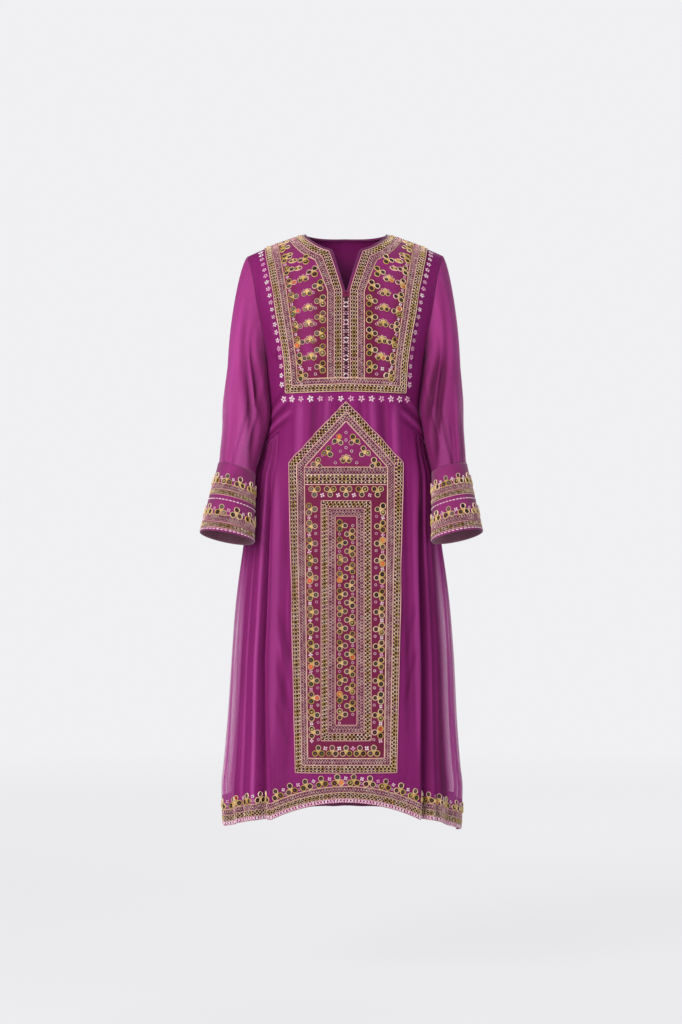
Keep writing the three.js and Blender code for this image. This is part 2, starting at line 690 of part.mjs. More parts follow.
function addGore(hand) {
  const columns = Array.from({ length: goreColumns + 1 }, (_, k) => k / goreColumns);
  const normalOf = (c, r) => {
    const step = 0.004;
    const sideways = gorePoint(hand, Math.min(c + step, 1), r).sub(gorePoint(hand, Math.max(c - step, 0), r));
    const upward = gorePoint(hand, c, Math.max(r - step, 0)).sub(gorePoint(hand, c, Math.min(r + step, 1)));
    const normal = sideways.cross(upward);
    normal.z = r === 0 ? 0 : normal.z;
    return normal.normalize().multiplyScalar(hand === 'left' ? 1 : -1);
  };
  const gore = sampled((c, r) => gorePoint(hand, c, r), goreRows, columns, normalOf);
  addPiece(`side_gore_${hand}`, wallGeometry(layerOf(gore, 0), layerOf(gore, clothWall), false),
    magentaCloth);
  const trimmed = (field) => gore[field].slice(-2).map((row) => row.slice(1, -1));
  const facing = { points: trimmed('points'), normals: trimmed('normals') };
  facing.points[1] = facing.points[1].map((point, c) => point.lerp(facing.points[0][c], 1 / facingHeight));
  addPiece(`hem_facing_${hand}`, wallGeometry(layerOf(facing, -seamGap - clothWall),
    layerOf(facing, -seamGap), false), wineGround);
}

// Armhole loop, just outside the panels' edges: over the front from the shoulder, back from behind
function armholeLoop(hand) {
  const halfLoop = (side) => {
    const sign = side.facing * (hand === 'right' ? 1 : -1);
    const total = underarmDown(side);
    return armholeDowns(side).map((down) => {
      const clear = armholeGap + clothWall * (down / total) ** 4;
      const point = surfacePoint(side, sign * (edgeLength(side, down, hand) + clear), down);
      point.z += down === total ? clear : 0;
      return point;
    });
  };
  return [...halfLoop(sides.front), ...halfLoop(sides.back).reverse().slice(1, -1)];
}

// Ring of a sleeve or cuff at a level
function sleeveRing(hand, level, columns) {
  const read = (column) => along(sleeveRings[hand], 'level', level, column);
  const sign = hand === 'left' ? 1 : -1;
  return Array.from({ length: columns }, (_, k) => {
    const angle = (2 * Math.PI * k) / columns;
    const outwards = Math.cos(angle);
    const forwards = Math.sin(angle);
    return new THREE.Vector3(
      sign * ((read('outer') + read('inner')) / 2 + ((read('outer') - read('inner')) / 2) * outwards),
      -read('forward') - (read('depth') / 2) * forwards,
      level + (read('sideTilt') / 2) * outwards + (read('frontTilt') / 2) * forwards,
    );
  });
}

function tubeNormals(points, hand) {
  const rows = points.length;
  const columns = points[0].length;
  return points.map((row, r) => row.map((_, c) => {
    const sideways = points[r][(c + 1) % columns].clone().sub(points[r][(c + columns - 1) % columns]);
    const upward = points[Math.max(r - 1, 0)][c].clone().sub(points[Math.min(r + 1, rows - 1)][c]);
    return sideways.cross(upward).normalize().multiplyScalar(hand === 'left' ? -1 : 1);
  }));
}

const sleeveLevels = [-302, -342, -380, -415, -448];
function addSleeve(hand) {
  const sign = hand === 'left' ? 1 : -1;
  const rings = sleeveRings[hand];
  const loop = armholeLoop(hand);
  const first = sleeveRing(hand, rings[0].level, sleeveColumns);
  const rows = [loop];
  for (let k = 1; k <= capRows; k += 1) {
    const u = k / capRows;
    rows.push(loop.map((start, c) => {
      const end = first[c];
      const under = underarmShare(c);
      const control = new THREE.Vector3(
        THREE.MathUtils.lerp(start.x, end.x, capBulge) + sign * underarmLift * under,
        THREE.MathUtils.lerp(start.y, end.y, 0.5),
        THREE.MathUtils.lerp(start.z, end.z, capDrop) + underarmLift * under,
      );
      return start.clone().multiplyScalar((1 - u) ** 2)
        .addScaledVector(control, 2 * u * (1 - u))
        .addScaledVector(end, u * u);
    }));
  }
  const cuffTop = rings[cuffTopIndex].level;
  for (const level of [...sleeveLevels, cuffTop + seamGap]) {
    rows.push(sleeveRing(hand, level, sleeveColumns));
  }
  let normals = tubeNormals(rows, hand);
  const sunk = rows.map((row, r) => row.map((point, c) => {
    const share = r / (rows.length - 1);
    const middle = THREE.MathUtils.lerp(sleeveTrough.start, sleeveTrough.end, share);
    const deep = sleeveTrough.deep * Math.sin(Math.PI * share)
      * troughShape(c / sleeveColumns - middle, sleeveTrough.wide);
    return point.clone().addScaledVector(normals[r][c], -deep);
  }));
  normals = tubeNormals(sunk, hand);
  const sleeve = { points: sunk, normals };
  addPiece(`sleeve_${hand}`, wallGeometry(layerOf(sleeve, -clothWall), layerOf(sleeve, 0), true),
    magentaCloth);
  const cuffLevels = [0, 0.33, 0.66, 1].map((u) => THREE.MathUtils.lerp(cuffTop, rings[rings.length - 1].level, u));
  const cuffPoints = cuffLevels.map((level) => sleeveRing(hand, level, sleeveColumns));
  const cuff = { points: cuffPoints, normals: tubeNormals(cuffPoints, hand) };
  addPiece(`cuff_${hand}`, wallGeometry(layerOf(cuff, -cuffWall / 2), layerOf(cuff, cuffWall / 2), true),
    wineGround);
}

// Binding round the neck and the slit: a closed cord that the panels' edges butt against
function addNeckBinding() {
  const stations = [];
  for (const side of [sides.front, sides.back]) {
    const grid = side.facing < 0 ? grids.front : grids.back;
    const inner = neckEdge(side, bindingRadius - 1);
    const outer = neckEdge(side, bindingRadius + 1);
    for (let k = 0; k < inner.length - 1; k += 1) {
      const lift = clothWall / 2;
      const near = onGrid(grid, inner[k].x, Math.max(-inner[k].y, 0), lift);
      const far = onGrid(grid, outer[k].x, Math.max(-outer[k].y, 0), lift);
      const middle = near.clone().add(far).multiplyScalar(0.5);
      const out = onGrid(grid, inner[k].x, Math.max(-inner[k].y, 0), lift + 1).sub(near).normalize();
      stations.push({ middle, away: far.sub(near).normalize(), out });
    }
  }
  const ring = (radius) => stations.map(({ middle, away, out }) => Array.from(
    { length: bindingSides },
    (_, k) => {
      const angle = (2 * Math.PI * k) / bindingSides;
      return middle.clone().addScaledVector(away, radius * Math.cos(angle))
        .addScaledVector(out, radius * Math.sin(angle));
    },
  ));
  const rows = ring(bindingRadius);
  const positions = rows.flat().flatMap((point) => point.toArray());
  const triangles = [];
  const vertex = (r, c) => (r % rows.length) * bindingSides + (c % bindingSides);
  for (let r = 0; r < rows.length; r += 1) {
    for (let c = 0; c < bindingSides; c += 1) {
      triangles.push(vertex(r, c), vertex(r + 1, c), vertex(r + 1, c + 1));
      triangles.push(vertex(r, c), vertex(r + 1, c + 1), vertex(r, c + 1));
    }
  }
  addPiece('neck_binding', closedGeometry(positions, triangles), plumBinding);
}

addPanels();
addYokeAndPocket();
addNeckBinding();
for (const hand of ['right', 'left']) {
  addGore(hand);
  addSleeve(hand);
}
addPanelFacings();

export default dress;
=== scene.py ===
import math

import bmesh
import bpy
import numpy as np
from mathutils import Matrix, Vector


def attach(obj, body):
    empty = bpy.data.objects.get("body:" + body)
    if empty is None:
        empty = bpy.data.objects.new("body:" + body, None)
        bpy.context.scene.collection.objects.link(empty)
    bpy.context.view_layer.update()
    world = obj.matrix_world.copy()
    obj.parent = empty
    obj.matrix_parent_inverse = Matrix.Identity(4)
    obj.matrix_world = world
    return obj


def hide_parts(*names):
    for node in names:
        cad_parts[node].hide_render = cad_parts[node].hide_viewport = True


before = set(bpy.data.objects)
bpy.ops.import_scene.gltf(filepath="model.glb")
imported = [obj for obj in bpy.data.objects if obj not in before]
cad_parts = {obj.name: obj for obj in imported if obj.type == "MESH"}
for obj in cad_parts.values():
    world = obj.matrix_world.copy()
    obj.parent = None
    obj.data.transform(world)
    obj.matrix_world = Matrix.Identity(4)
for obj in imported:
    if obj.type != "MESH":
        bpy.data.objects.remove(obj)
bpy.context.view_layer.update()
chance = np.random.default_rng(7)

# the worn form, in millimetres
# Across runs to the right of someone facing a side, v runs up from the shoulder line, so it is
# minus the cloth length down. Out is away from the body.

hands = ("right", "left")
walls = {"cloth": 1.0, "applied": 1.4, "cuff": 2.0, "seamGap": 0.3}

# down, level, depth, edge, set, slope, square: upper rows, shoulder line to underarm
rowNames = ("down", "level", "depth", "edge", "set", "slope", "square")
frontRows = [
    (0, 13.5, 0, 200, 0, 1, 2.5),
    (30, 3.5, 28, 196, 10, 0.97, 2.5),
    (60, -13, 52, 192, 22, 0.92, 2.5),
    (90, -36, 71, 187, 33, 0.85, 2.5),
    (120, -62, 85, 183, 40, 0.75, 2.5),
    (160, -99, 100, 178, 44, 0.6, 2.5),
    (200, -137.5, 111, 173, 45, 0.42, 2.45),
    (240, -177, 117.5, 167, 42, 0.24, 2.4),
    (280, -217, 121, 162, 31, 0.1, 2.35),
    (305, -242, 122, 159.5, 17, 0.03, 2.35),
    (321, -258, 122, 158, 0, 0, 2.35),
]
backRows = [
    (0, 13.5, 0, 200, 0, 1, 2.5),
    (30, 6, 27, 196, 9, 0.97, 2.5),
    (60, -9, 52, 192, 20, 0.92, 2.5),
    (90, -31, 72, 189, 30, 0.85, 2.5),
    (120, -57, 86, 186, 36, 0.75, 2.5),
    (160, -94, 99, 182, 40, 0.6, 2.5),
    (200, -132.5, 107, 177, 41, 0.42, 2.45),
    (240, -172, 111, 170, 38, 0.24, 2.4),
    (280, -212, 112, 164, 28, 0.1, 2.35),
    (305, -237, 112, 160, 15, 0.03, 2.35),
    (326, -258, 112, 158, 0, 0, 2.35),
]
# lower rings: half widths to the wearer's right and left, depths in front and behind
bodyNames = ("level", "right", "left", "front", "back", "square")
bodyRings = [
    (-258, 158, 155, 122, 112, 2.35),
    (-302, 151, 147, 115, 105, 2.35),
    (-353, 147, 143, 108, 100, 2.35),
    (-389, 152, 151, 107, 102, 2.35),
    (-419, 161, 156, 108, 107, 2.3),
    (-447, 168, 161, 110, 113, 2.3),
    (-472, 175, 167, 112, 119, 2.3),
    (-504, 183, 173, 116, 126, 2.25),
    (-610, 203, 190, 127, 135, 2.2),
    (-732, 219, 206, 138, 141, 2.2),
    (-841, 228, 215, 145, 146, 2.2),
    (-974, 237, 221, 152, 152, 2.2),
    (-1066, 245, 228, 157, 156, 2.2),
    (-1113, 249, 233, 160, 158, 2.2),
    (-1240, 243, 228, 164, 162, 2.2),
]
edgeNames = ("level", "right", "left")
panelEdges = [
    (-397, 131, 134), (-460, 133, 139), (-490, 137, 141), (-615, 146, 142),
    (-778, 151, 145), (-860, 154, 147), (-1040, 150, 146), (-1240, 145, 144),
]
form = {
    "underarm": -258, "shoulderHalf": 200, "shoulderFall": 58.5, "shoulderPower": 1.6,
    "goreTopEdge": -397, "goreTopSide": -447,
    "hemMiddle": {"front": -1127, "back": -1168}, "hemEdge": {"front": -1163, "back": -1174},
    "hemSide": {"right": -1189, "left": -1197},
    "neckHalf": 81, "neckDrop": {"front": 93, "back": 52},
    "slitHalf": 27, "slitTip": 182, "slitTipHalf": 1.6, "bindingRadius": 2.4,
    "facingHeight": 60, "facingInset": 3, "facingStop": 12,
}
# grids that the surfaces are worked out on: steps round half a ring, start, stop and step of the panels,
# rows and columns of the gores
grids = {"ring": 61, "across": (-249, 250, 3.0), "down": (0, 1264, 3.5),
         "goreRows": 141, "goreColumns": 281}
sides = {
    "front": {"name": "front", "rows": frontRows, "facing": -1, "underarm": 321},
    "back": {"name": "back", "rows": backRows, "facing": 1, "underarm": 326},
}


def along(table, names, key, at, column):
    # smooth value of one column of a table at the places along it
    places = np.array([row[names.index(key)] for row in table], float)
    values = np.array([row[names.index(column)] for row in table], float)
    at = np.asarray(at, float)
    if places[0] > places[-1]:
        places, at = -places, -at
    last = len(places) - 1
    before = np.maximum(np.arange(last + 1) - 1, 0)
    after = np.minimum(np.arange(last + 1) + 1, last)
    slopes = (values[after] - values[before]) / (places[after] - places[before])
    i = np.clip(np.searchsorted(places, at, side="left") - 1, 0, last - 1)
    run = places[i + 1] - places[i]
    u = np.clip((at - places[i]) / run, 0, 1)
    return (values[i] * (1 + 2 * u) * (1 - u) ** 2 + values[i + 1] * u * u * (3 - 2 * u)
            + run * (slopes[i] * u * (1 - u) ** 2 - slopes[i + 1] * u * u * (1 - u)))


def ease(x):
    u = np.clip(x, 0, 1)
    return u * u * (3 - 2 * u)


def trough(distance, wide):
    return np.where(np.abs(distance) < wide, 0.5 + 0.5 * np.cos(np.pi * distance / wide), 0)


def lerp(a, b, share):
    return a + (b - a) * share


def pairs(first, second):
    # two runs of numbers as rows of two
    return np.stack(np.broadcast_arrays(first, second), axis=1)


def handSign(side, hand):
    # which way across runs towards a hand
    return side["facing"] * (1 if hand == "right" else -1)


def shoulderDrop(x):
    return -form["shoulderFall"] * (np.abs(x) / form["shoulderHalf"]) ** form["shoulderPower"]


def halfRings(side, downs, hand):
    # half rings from the middle out to the edge: points and the cloth length to each of them
    downs = np.maximum(downs, 0)
    upper = downs <= side["underarm"]
    top = {name: along(side["rows"], rowNames, "down", downs, name) for name in rowNames}
    level = np.where(upper, top["level"], form["underarm"] - (downs - side["underarm"]))
    low = {name: along(bodyRings, bodyNames, "level", level, name) for name in bodyNames}
    narrower = bodyRings[0][bodyNames.index(hand)] / bodyRings[0][bodyNames.index("right")]
    share = np.where(top["depth"] > 0, top["set"] / np.maximum(top["depth"], 1e-9), 0)
    square = np.where(upper, top["square"], low["square"])
    topHalf = top["edge"] * narrower / (1 - share ** top["square"]) ** (1 / top["square"])
    half = np.where(upper, topHalf, low[hand])
    depth = np.where(upper, top["depth"], low[side["name"]])
    stop = np.where(upper, np.arccos(share ** (top["square"] / 2)), np.pi / 2)
    angle = stop[:, None] * np.linspace(0, 1, grids["ring"])
    power = (2 / square)[:, None]
    sign = 1 if hand == "left" else -1
    x = sign * half[:, None] * np.maximum(np.sin(angle), 0) ** power
    y = side["facing"] * depth[:, None] * np.maximum(np.cos(angle), 0) ** power
    z = level[:, None] + np.where(upper, top["slope"], 0)[:, None] * shoulderDrop(x)
    points = np.stack([x, y, z], axis=2)
    steps = np.linalg.norm(np.diff(points, axis=1), axis=2)
    lengths = np.concatenate([np.zeros((len(downs), 1)), np.cumsum(steps, axis=1)], axis=1)
    return points, lengths


def edgeLength(side, downs, hand):
    return halfRings(side, np.atleast_1d(np.asarray(downs, float)), hand)[1][:, -1]


def ringPoints(side, across, down):
    across, down = np.broadcast_arrays(np.asarray(across, float), np.asarray(down, float))
    shape = across.shape
    across, down = across.ravel(), down.ravel()
    out = np.zeros((across.size, 3))
    for hand in hands:
        mine = (side["facing"] * across > 0) == (hand == "right")
        if not mine.any():
            continue
        downs, back = np.unique(np.round(down[mine], 4), return_inverse=True)
        points, lengths = halfRings(side, downs, hand)
        reach = np.abs(across[mine])
        k = np.clip((lengths[back] < reach[:, None]).sum(axis=1), 1, grids["ring"] - 1)
        start = lengths[back, k - 1]
        run = (reach - start) / (lengths[back, k] - start)
        out[mine] = lerp(points[back, k - 1], points[back, k], run[:, None])
    return out.reshape(shape + (3,))


def acrossOf(side, downs, hand, x):
    # cloth length from the middle of a row to the place that lies so far sideways
    points, lengths = halfRings(side, downs, hand)
    reach = np.abs(points[:, :, 0])
    return np.array([np.interp(at, row, length) for at, row, length in zip(x, reach, lengths)])


def downAt(side, level):
    return side["underarm"] + form["underarm"] - level


def goreAcross(side, hand, share, level):
    level = np.atleast_1d(np.asarray(level, float))
    downs = downAt(side, level)
    edge = acrossOf(side, downs, hand, along(panelEdges, edgeNames, "level", level, hand))
    return edge + (edgeLength(side, downs, hand) - edge) * share


def hemReach(side, hand):
    # cloth length from the middle of a panel to its edge at the hem
    return goreAcross(side, hand, 0, form["hemEdge"][side["name"]])[0]


class Cloth:
    # a surface as a grid of points over its own flat pattern, across by v
    def __init__(self, across, v, points):
        self.across, self.v, self.points = across, v, points
        sideways = np.gradient(points, across, axis=1)
        upward = np.gradient(points, v, axis=0)
        normals = np.cross(sideways, upward)
        self.normals = normals / np.maximum(np.linalg.norm(normals, axis=2), 1e-9)[:, :, None]

    def at(self, across, v, out=0.0):
        across = np.asarray(across, float)
        v = np.asarray(v, float)
        c = np.interp(across, self.across, np.arange(len(self.across)))
        order = np.arange(len(self.v))
        r = np.interp(v, self.v, order) if self.v[0] < self.v[-1] else np.interp(-v, -self.v, order)
        ci = np.minimum(c.astype(int), len(self.across) - 2)
        ri = np.minimum(r.astype(int), len(self.v) - 2)
        fc, fr = (c - ci)[..., None], (r - ri)[..., None]

        def blend(field):
            return lerp(lerp(field[ri, ci], field[ri, ci + 1], fc),
                        lerp(field[ri + 1, ci], field[ri + 1, ci + 1], fc), fr)
        out = np.asarray(out, float)
        return blend(self.points) + blend(self.normals) * (out[..., None] if out.ndim else out)


# soft creases of the panels: from across, down, to across, down, half width, how deep, which is below 0
# for a ridge
creases = {
    "front": [
        (-140, 470, -150, 1150, 13, -4.5), (-121, 500, -127, 1130, 9, 3.2),
        (-92, 620, -128, 1040, 10, 2.4), (142, 470, 152, 1160, 13, -4.0),
        (121, 520, 128, 1130, 9, 3.0), (86, 560, 124, 900, 11, 2.2),
        (-108, 1000, -124, 1150, 9, 2.4), (-126, 700, -112, 900, 8, -1.8),
        (-138, 800, -108, 930, 9, 2.4), (-142, 850, -110, 990, 8, -2.2), (-142, 905, -110, 1040, 8, 2.6),
        (-144, 980, -112, 1090, 8, 2.2), (144, 790, 116, 930, 9, 2.2), (146, 880, 114, 1020, 8, 2.4),
        (-94, 380, -97, 620, 13, -5.0), (-62, 380, -66, 500, 13, 4.5), (-36, 384, -39, 460, 9, -3.0),
        (-16, 386, -15, 440, 7, 2.5), (28, 386, 30, 450, 9, 3.0), (52, 386, 56, 480, 10, -3.0),
        (72, 380, 78, 520, 13, 4.5), (100, 380, 108, 640, 13, -5.0), (-110, 300, -113, 420, 9, -2.5),
        (-106, 428, -204, 490, 6, 5.0), (-104, 414, -204, 476, 6, -4.0),
        (-108, 400, -200, 460, 6.5, 5.0), (-110, 386, -196, 444, 7, -3.0),
        (-112, 366, -190, 424, 8, 3.4), (-130, 330, -172, 300, 9, 2.2),
        (108, 430, 200, 490, 6, 4.6), (106, 415, 200, 476, 6, -3.6), (108, 401, 198, 460, 6.5, 4.2),
        (110, 384, 190, 440, 8, -2.6),
        (-146, 120, -152, 360, 10, 3.0), (146, 110, 150, 350, 10, 3.0),
        (-160, 230, -138, 330, 8, -2.2), (158, 240, 137, 340, 8, -2.2),
    ],
    "back": [
        (-92, 430, -92, 1240, 22, 9.0), (-31, 500, -31, 1240, 26, 8.0), (24, 440, 24, 1240, 22, 9.0),
        (88, 420, 88, 1240, 24, 10.0), (-60, 60, -48, 380, 26, 2.5), (58, 60, 50, 380, 26, 2.5),
        (-165, 480, -120, 400, 7, 3.0), (165, 480, 122, 400, 7, 3.0),
    ],
}


def creaseSink(rows, across, down):
    sunk = np.zeros(np.broadcast(across, down).shape)
    for a0, d0, a1, d1, wide, deep in rows:
        run = np.array([a1 - a0, d1 - d0], float)
        length = np.hypot(*run)
        t = ((across - a0) * run[0] + (down - d0) * run[1]) / length ** 2
        distance = ((across - a0) * run[1] - (down - d0) * run[0]) / length
        taper = ease(t / 0.3) * ease((1 - t) / 0.3) if d1 < 1200 else ease(t / 0.4)
        sunk = sunk + deep * taper * trough(distance, wide)
    return sunk


# how far the slack cloth at the sides stands out, by level
slackNames = ("level", "out")
slackRows = [(-258, 0), (-275, 2), (-300, 4), (-350, 5), (-400, 4.5), (-447, 5), (-480, 7), (-510, 6),
             (-570, 2.5), (-640, 0)]
slack = {"from": 110, "full": 45}


def eased(points):
    # the sides let out, as far as their level says
    levels = points[..., 2].ravel()
    push = along(slackRows, slackNames, "level", levels, "out").reshape(points.shape[:-1])
    x = points[..., 0]
    points[..., 0] = x + push * np.sign(x) * ease((np.abs(x) - slack["from"]) / slack["full"])
    return points


def sideCloth(side):
    across, down = np.arange(*grids["across"]), np.arange(*grids["down"])
    a, d = np.meshgrid(across, down)
    points = eased(ringPoints(side, a, d))
    points[:, :, 1] -= side["facing"] * creaseSink(creases[side["name"]], a, d)
    return Cloth(across, -down, points)


print("surfaces of the front and the back")
cloths = {name: sideCloth(side) for name, side in sides.items()}

# large folds of the gores: place across, half width, how deep, and where down the fall each starts and
# is full
goreFolds = {
    "right": [(0.066, 0.048, 23, 0.02, 0.35), (0.2, 0.03, 6, 0.05, 0.6), (0.31, 0.08, 9, 0.08, 0.6),
              (0.47, 0.06, 5, 0.3, 0.8), (0.64, 0.08, 10, 0.1, 0.6), (0.79, 0.06, 13, 0.05, 0.5),
              (0.925, 0.07, 20, 0.02, 0.4)],
    "left": [(0.048, 0.045, 21, 0.02, 0.3), (0.12, 0.03, 6, 0.05, 0.5), (0.24, 0.08, 12, 0.06, 0.5),
             (0.43, 0.07, 6, 0.3, 0.8), (0.6, 0.07, 9, 0.12, 0.7), (0.76, 0.07, 14, 0.05, 0.5),
             (0.93, 0.065, 18, 0.02, 0.4)],
}
# painted light on ridges, as if single cloth were lit through: place across, half width, how light, where
# it starts
paintedGoreLights = {
    "right": [(0.02, 0.014, 0.5, 0.0), (0.14, 0.018, 0.75, 0.0), (0.225, 0.016, 0.5, 0.1),
              (0.4, 0.03, 0.3, 0.2), (0.86, 0.03, 0.5, 0.05), (0.7, 0.03, 0.4, 0.1)],
    "left": [(0.018, 0.016, 0.5, 0.0), (0.14, 0.026, 0.35, 0.03), (0.33, 0.03, 0.4, 0.2),
             (0.68, 0.03, 0.4, 0.1), (0.85, 0.03, 0.5, 0.05)],
}
gathers = {
    "count": 10, "deep": 5, "end": 0.3, "pleats": 24, "pleatShift": (-0.35, 0.35),
    "pleatWide": (0.011, 0.024), "pleatDeep": (2.5, 6.5), "pleatEnd": (0.16, 0.8),
    "lean": 0.02, "tuck": 1.5, "rippleDeep": 2.0, "ripples": 7,
}
pleats = {}
for hand in hands:
    step = 1 / gathers["pleats"]
    pleats[hand] = [((k + 0.5 + chance.uniform(*gathers["pleatShift"])) * step,
                     *(chance.uniform(*gathers[key]) for key in ("pleatWide", "pleatDeep", "pleatEnd")))
                    for k in range(gathers["pleats"])]


def pleatSunk(hand, across, share):
    sunk = np.zeros(np.broadcast(across, share).shape)
    for at, wide, deep, end in pleats[hand]:
        fade = ease(share / 0.012) * (1 - ease(share / end))
        sunk = sunk + deep * fade * trough(across - at - gathers["lean"] * share, wide * (1 + share))
    return sunk


def goreSunk(hand, across, share):
    sunk = np.zeros(np.broadcast(across, share).shape)
    for at, wide, deep, start, full in goreFolds[hand]:
        sunk = sunk + deep * ease((share - start) / (full - start)) * trough(across - at, wide)
    return sunk


def gorePoints(hand, across, share):
    # across: 0 at the front panel's edge, 1 at the back panel's; share: 0 at the tuck seam, 1 at the hem
    across, share = np.broadcast_arrays(np.asarray(across, float), np.asarray(share, float))
    shape = across.shape
    across, share = across.ravel(), share.ravel()
    points = np.zeros((across.size, 3))
    inward = np.zeros((across.size, 3))
    gap = walls["seamGap"]
    for name, side in sides.items():
        mine = (across <= 0.5) == (name == "front")
        fromEdge = np.where(across <= 0.5, 2 * across, 2 - 2 * across)[mine]
        top = lerp(form["goreTopEdge"], form["goreTopSide"], fromEdge) + gathers["tuck"] * (1 + fromEdge)
        hem = lerp(form["hemEdge"][name], form["hemSide"][hand], ease(fromEdge))
        level = lerp(top, hem, share[mine])
        length = goreAcross(side, hand, fromEdge, level) - np.where(fromEdge == 0, 3 * gap, 0)
        sign = handSign(side, hand)
        down = downAt(side, level)
        points[mine] = ringPoints(side, sign * length, down)
        ahead = ringPoints(side, sign * (length + 1), down)
        behind = ringPoints(side, sign * (length - 1), down)
        turn = np.stack([behind[:, 1] - ahead[:, 1], ahead[:, 0] - behind[:, 0], 0 * level], axis=1)
        turn /= np.linalg.norm(turn, axis=1)[:, None]
        turn *= np.where((turn * points[mine]).sum(axis=1) > 0, -1, 1)[:, None]
        inward[mine] = turn
    points = eased(points)
    # the top is tucked under the seam
    sunk = goreSunk(hand, across, share) + gathers["tuck"] * (1 - ease(share / 0.006))
    fade = ease(share / 0.02 + 0.15) * (1 - ease(share / gathers["end"]))
    sunk += gathers["deep"] * fade * (0.5 - 0.5 * np.cos(2 * np.pi * gathers["count"] * across))
    sunk += pleatSunk(hand, across, share)
    ripple = np.sin(2 * np.pi * gathers["ripples"] * across + 1.5 * np.sin(3 * share))
    sunk += gathers["rippleDeep"] * ease(share / 0.5) * ripple
    return (points + inward * sunk[:, None]).reshape(shape + (3,))


def goreCloth(hand):
    shares = np.linspace(0, 1, grids["goreRows"])
    c, s = np.meshgrid(np.linspace(0, 1, grids["goreColumns"]), shares)
    points = gorePoints(hand, c, s)
    hemSteps = np.linalg.norm(np.diff(points[-1], axis=0), axis=1)
    lengths = np.concatenate([[0], np.cumsum(hemSteps)])
    fall = np.linalg.norm(np.diff(points, axis=0), axis=2).sum(axis=0).mean()
    sign = 1 if hand == "left" else -1
    across = sign * lengths
    if sign < 0:
        across, points = across[::-1], points[:, ::-1]
    return Cloth(across, -shares * fall, points)


print("surfaces of the gores")
for hand in hands:
    cloths["gore" + hand] = goreCloth(hand)

# sleeves and cuffs, ring by ring
sleeveNames = ("level", "outer", "inner", "forward", "depth", "sideTilt", "frontTilt")
sleeveRings = {
    "right": [
        (-266, 234, 163, 8, 106, 0, 0), (-317, 240, 161, 19, 107, 4, 4), (-360, 245, 161, 29, 105, 8, 8),
        (-403, 248, 168, 41, 102, 14, 12), (-440, 251, 176, 52, 100, 19, 15),
        (-474, 254, 181, 64, 98, 23, 17), (-540, 271, 182, 79, 110, 22, 20),
        (-609, 289, 183, 92, 122, 20, 23),
    ],
    "left": [
        (-266, 226, 160, 8, 106, 0, 0), (-317, 230, 156, 19, 107, 3, 4), (-360, 233, 156, 30, 105, 6, 8),
        (-403, 236, 161, 44, 102, 10, 12), (-440, 238, 168, 57, 100, 13, 15),
        (-472, 240, 171, 70, 98, 16, 17), (-540, 255, 171, 86, 110, 18, 20),
        (-607, 270, 170, 98, 122, 20, 23),
    ],
}
sleeve = {
    "crowding": 1.5, "gap": 0.9, "lift": 7, "bulge": 0.75, "drop": 0.2, "cuffTop": 5,
    "capRows": 22, "lowerRows": 58, "columns": 112,
    "trough": {"start": 0.13, "end": 0.4, "wide": 0.07, "deep": 7},
    # place round at the start and the end, half width, depth, and the shares of the length it runs over
    "creases": [
        (0.22, 0.34, 0.035, 3.4, 0.1, 0.8), (0.05, 0.1, 0.04, 2.6, 0.3, 1.15),
        (0.31, 0.2, 0.03, 2.6, 0.5, 1.15), (0.6, 0.66, 0.05, 3.0, 0.2, 0.9),
        (0.78, 0.85, 0.045, 2.8, 0.1, 0.8), (0.93, 0.97, 0.04, 2.4, 0.35, 1.1),
        (0.42, 0.3, 0.03, -2.2, 0.3, 0.95), (0.13, 0.17, 0.025, -2.6, 0.45, 1.15),
        (0.09, 0.12, 0.02, 1.8, 0.5, 1.15), (0.0, 0.0, 0.3, -4.5, 0.04, 0.8),
        (0.19, 0.24, 0.02, 1.6, 0.62, 1.15), (0.34, 0.38, 0.035, 3.4, 0.3, 1.0),
        (0.25, 0.43, 0.05, 7.0, 0.06, 0.8),
    ],
    # level, and how far the inner side is let out towards the body; the first rows ease into it
    "fullNames": ("level", "right", "left"), "fullWide": 0.2, "fullEase": 5,
    "fullRows": [(-250, 3, 3), (-256, 6, 6), (-261, 8.5, 8.5), (-268, 8, 7.6), (-290, 7.6, 6.9),
                 (-317, 8.4, 7.4), (-350, 9.6, 8.5), (-389, 9.3, 4.8), (-403, 7.5, 4.2), (-419, 6, 4.5),
                 (-447, 4, 4), (-472, 0.5, 0.5)],
}


def armholeLoop(hand, shares):
    points = np.zeros((len(shares), 3))
    for name, side in sides.items():
        mine = (shares <= 0.5) if name == "front" else (shares > 0.5)
        fromTop = shares[mine] if name == "front" else 1 - shares[mine]
        total = side["underarm"]
        down = total * (1 - np.maximum(1 - 2 * fromTop, 0) ** sleeve["crowding"])
        clear = sleeve["gap"] + walls["cloth"] * (down / total) ** 4
        sign = handSign(side, hand)
        points[mine] = ringPoints(side, sign * (edgeLength(side, down, hand) + clear), down)
        points[mine, 2] += np.where(fromTop == 0.5, clear, 0)[: mine.sum()]
    return points


def sleeveRing(hand, level, shares):
    read = {name: along(sleeveRings[hand], sleeveNames, "level", level, name) for name in sleeveNames}
    outwards, forwards = np.cos(2 * np.pi * shares), np.sin(2 * np.pi * shares)
    sign = 1 if hand == "left" else -1
    return np.stack([
        sign * ((read["outer"] + read["inner"]) / 2 + (read["outer"] - read["inner"]) / 2 * outwards),
        -read["forward"] - read["depth"] / 2 * forwards,
        level + read["sideTilt"] / 2 * outwards + read["frontTilt"] / 2 * forwards,
    ], axis=1)


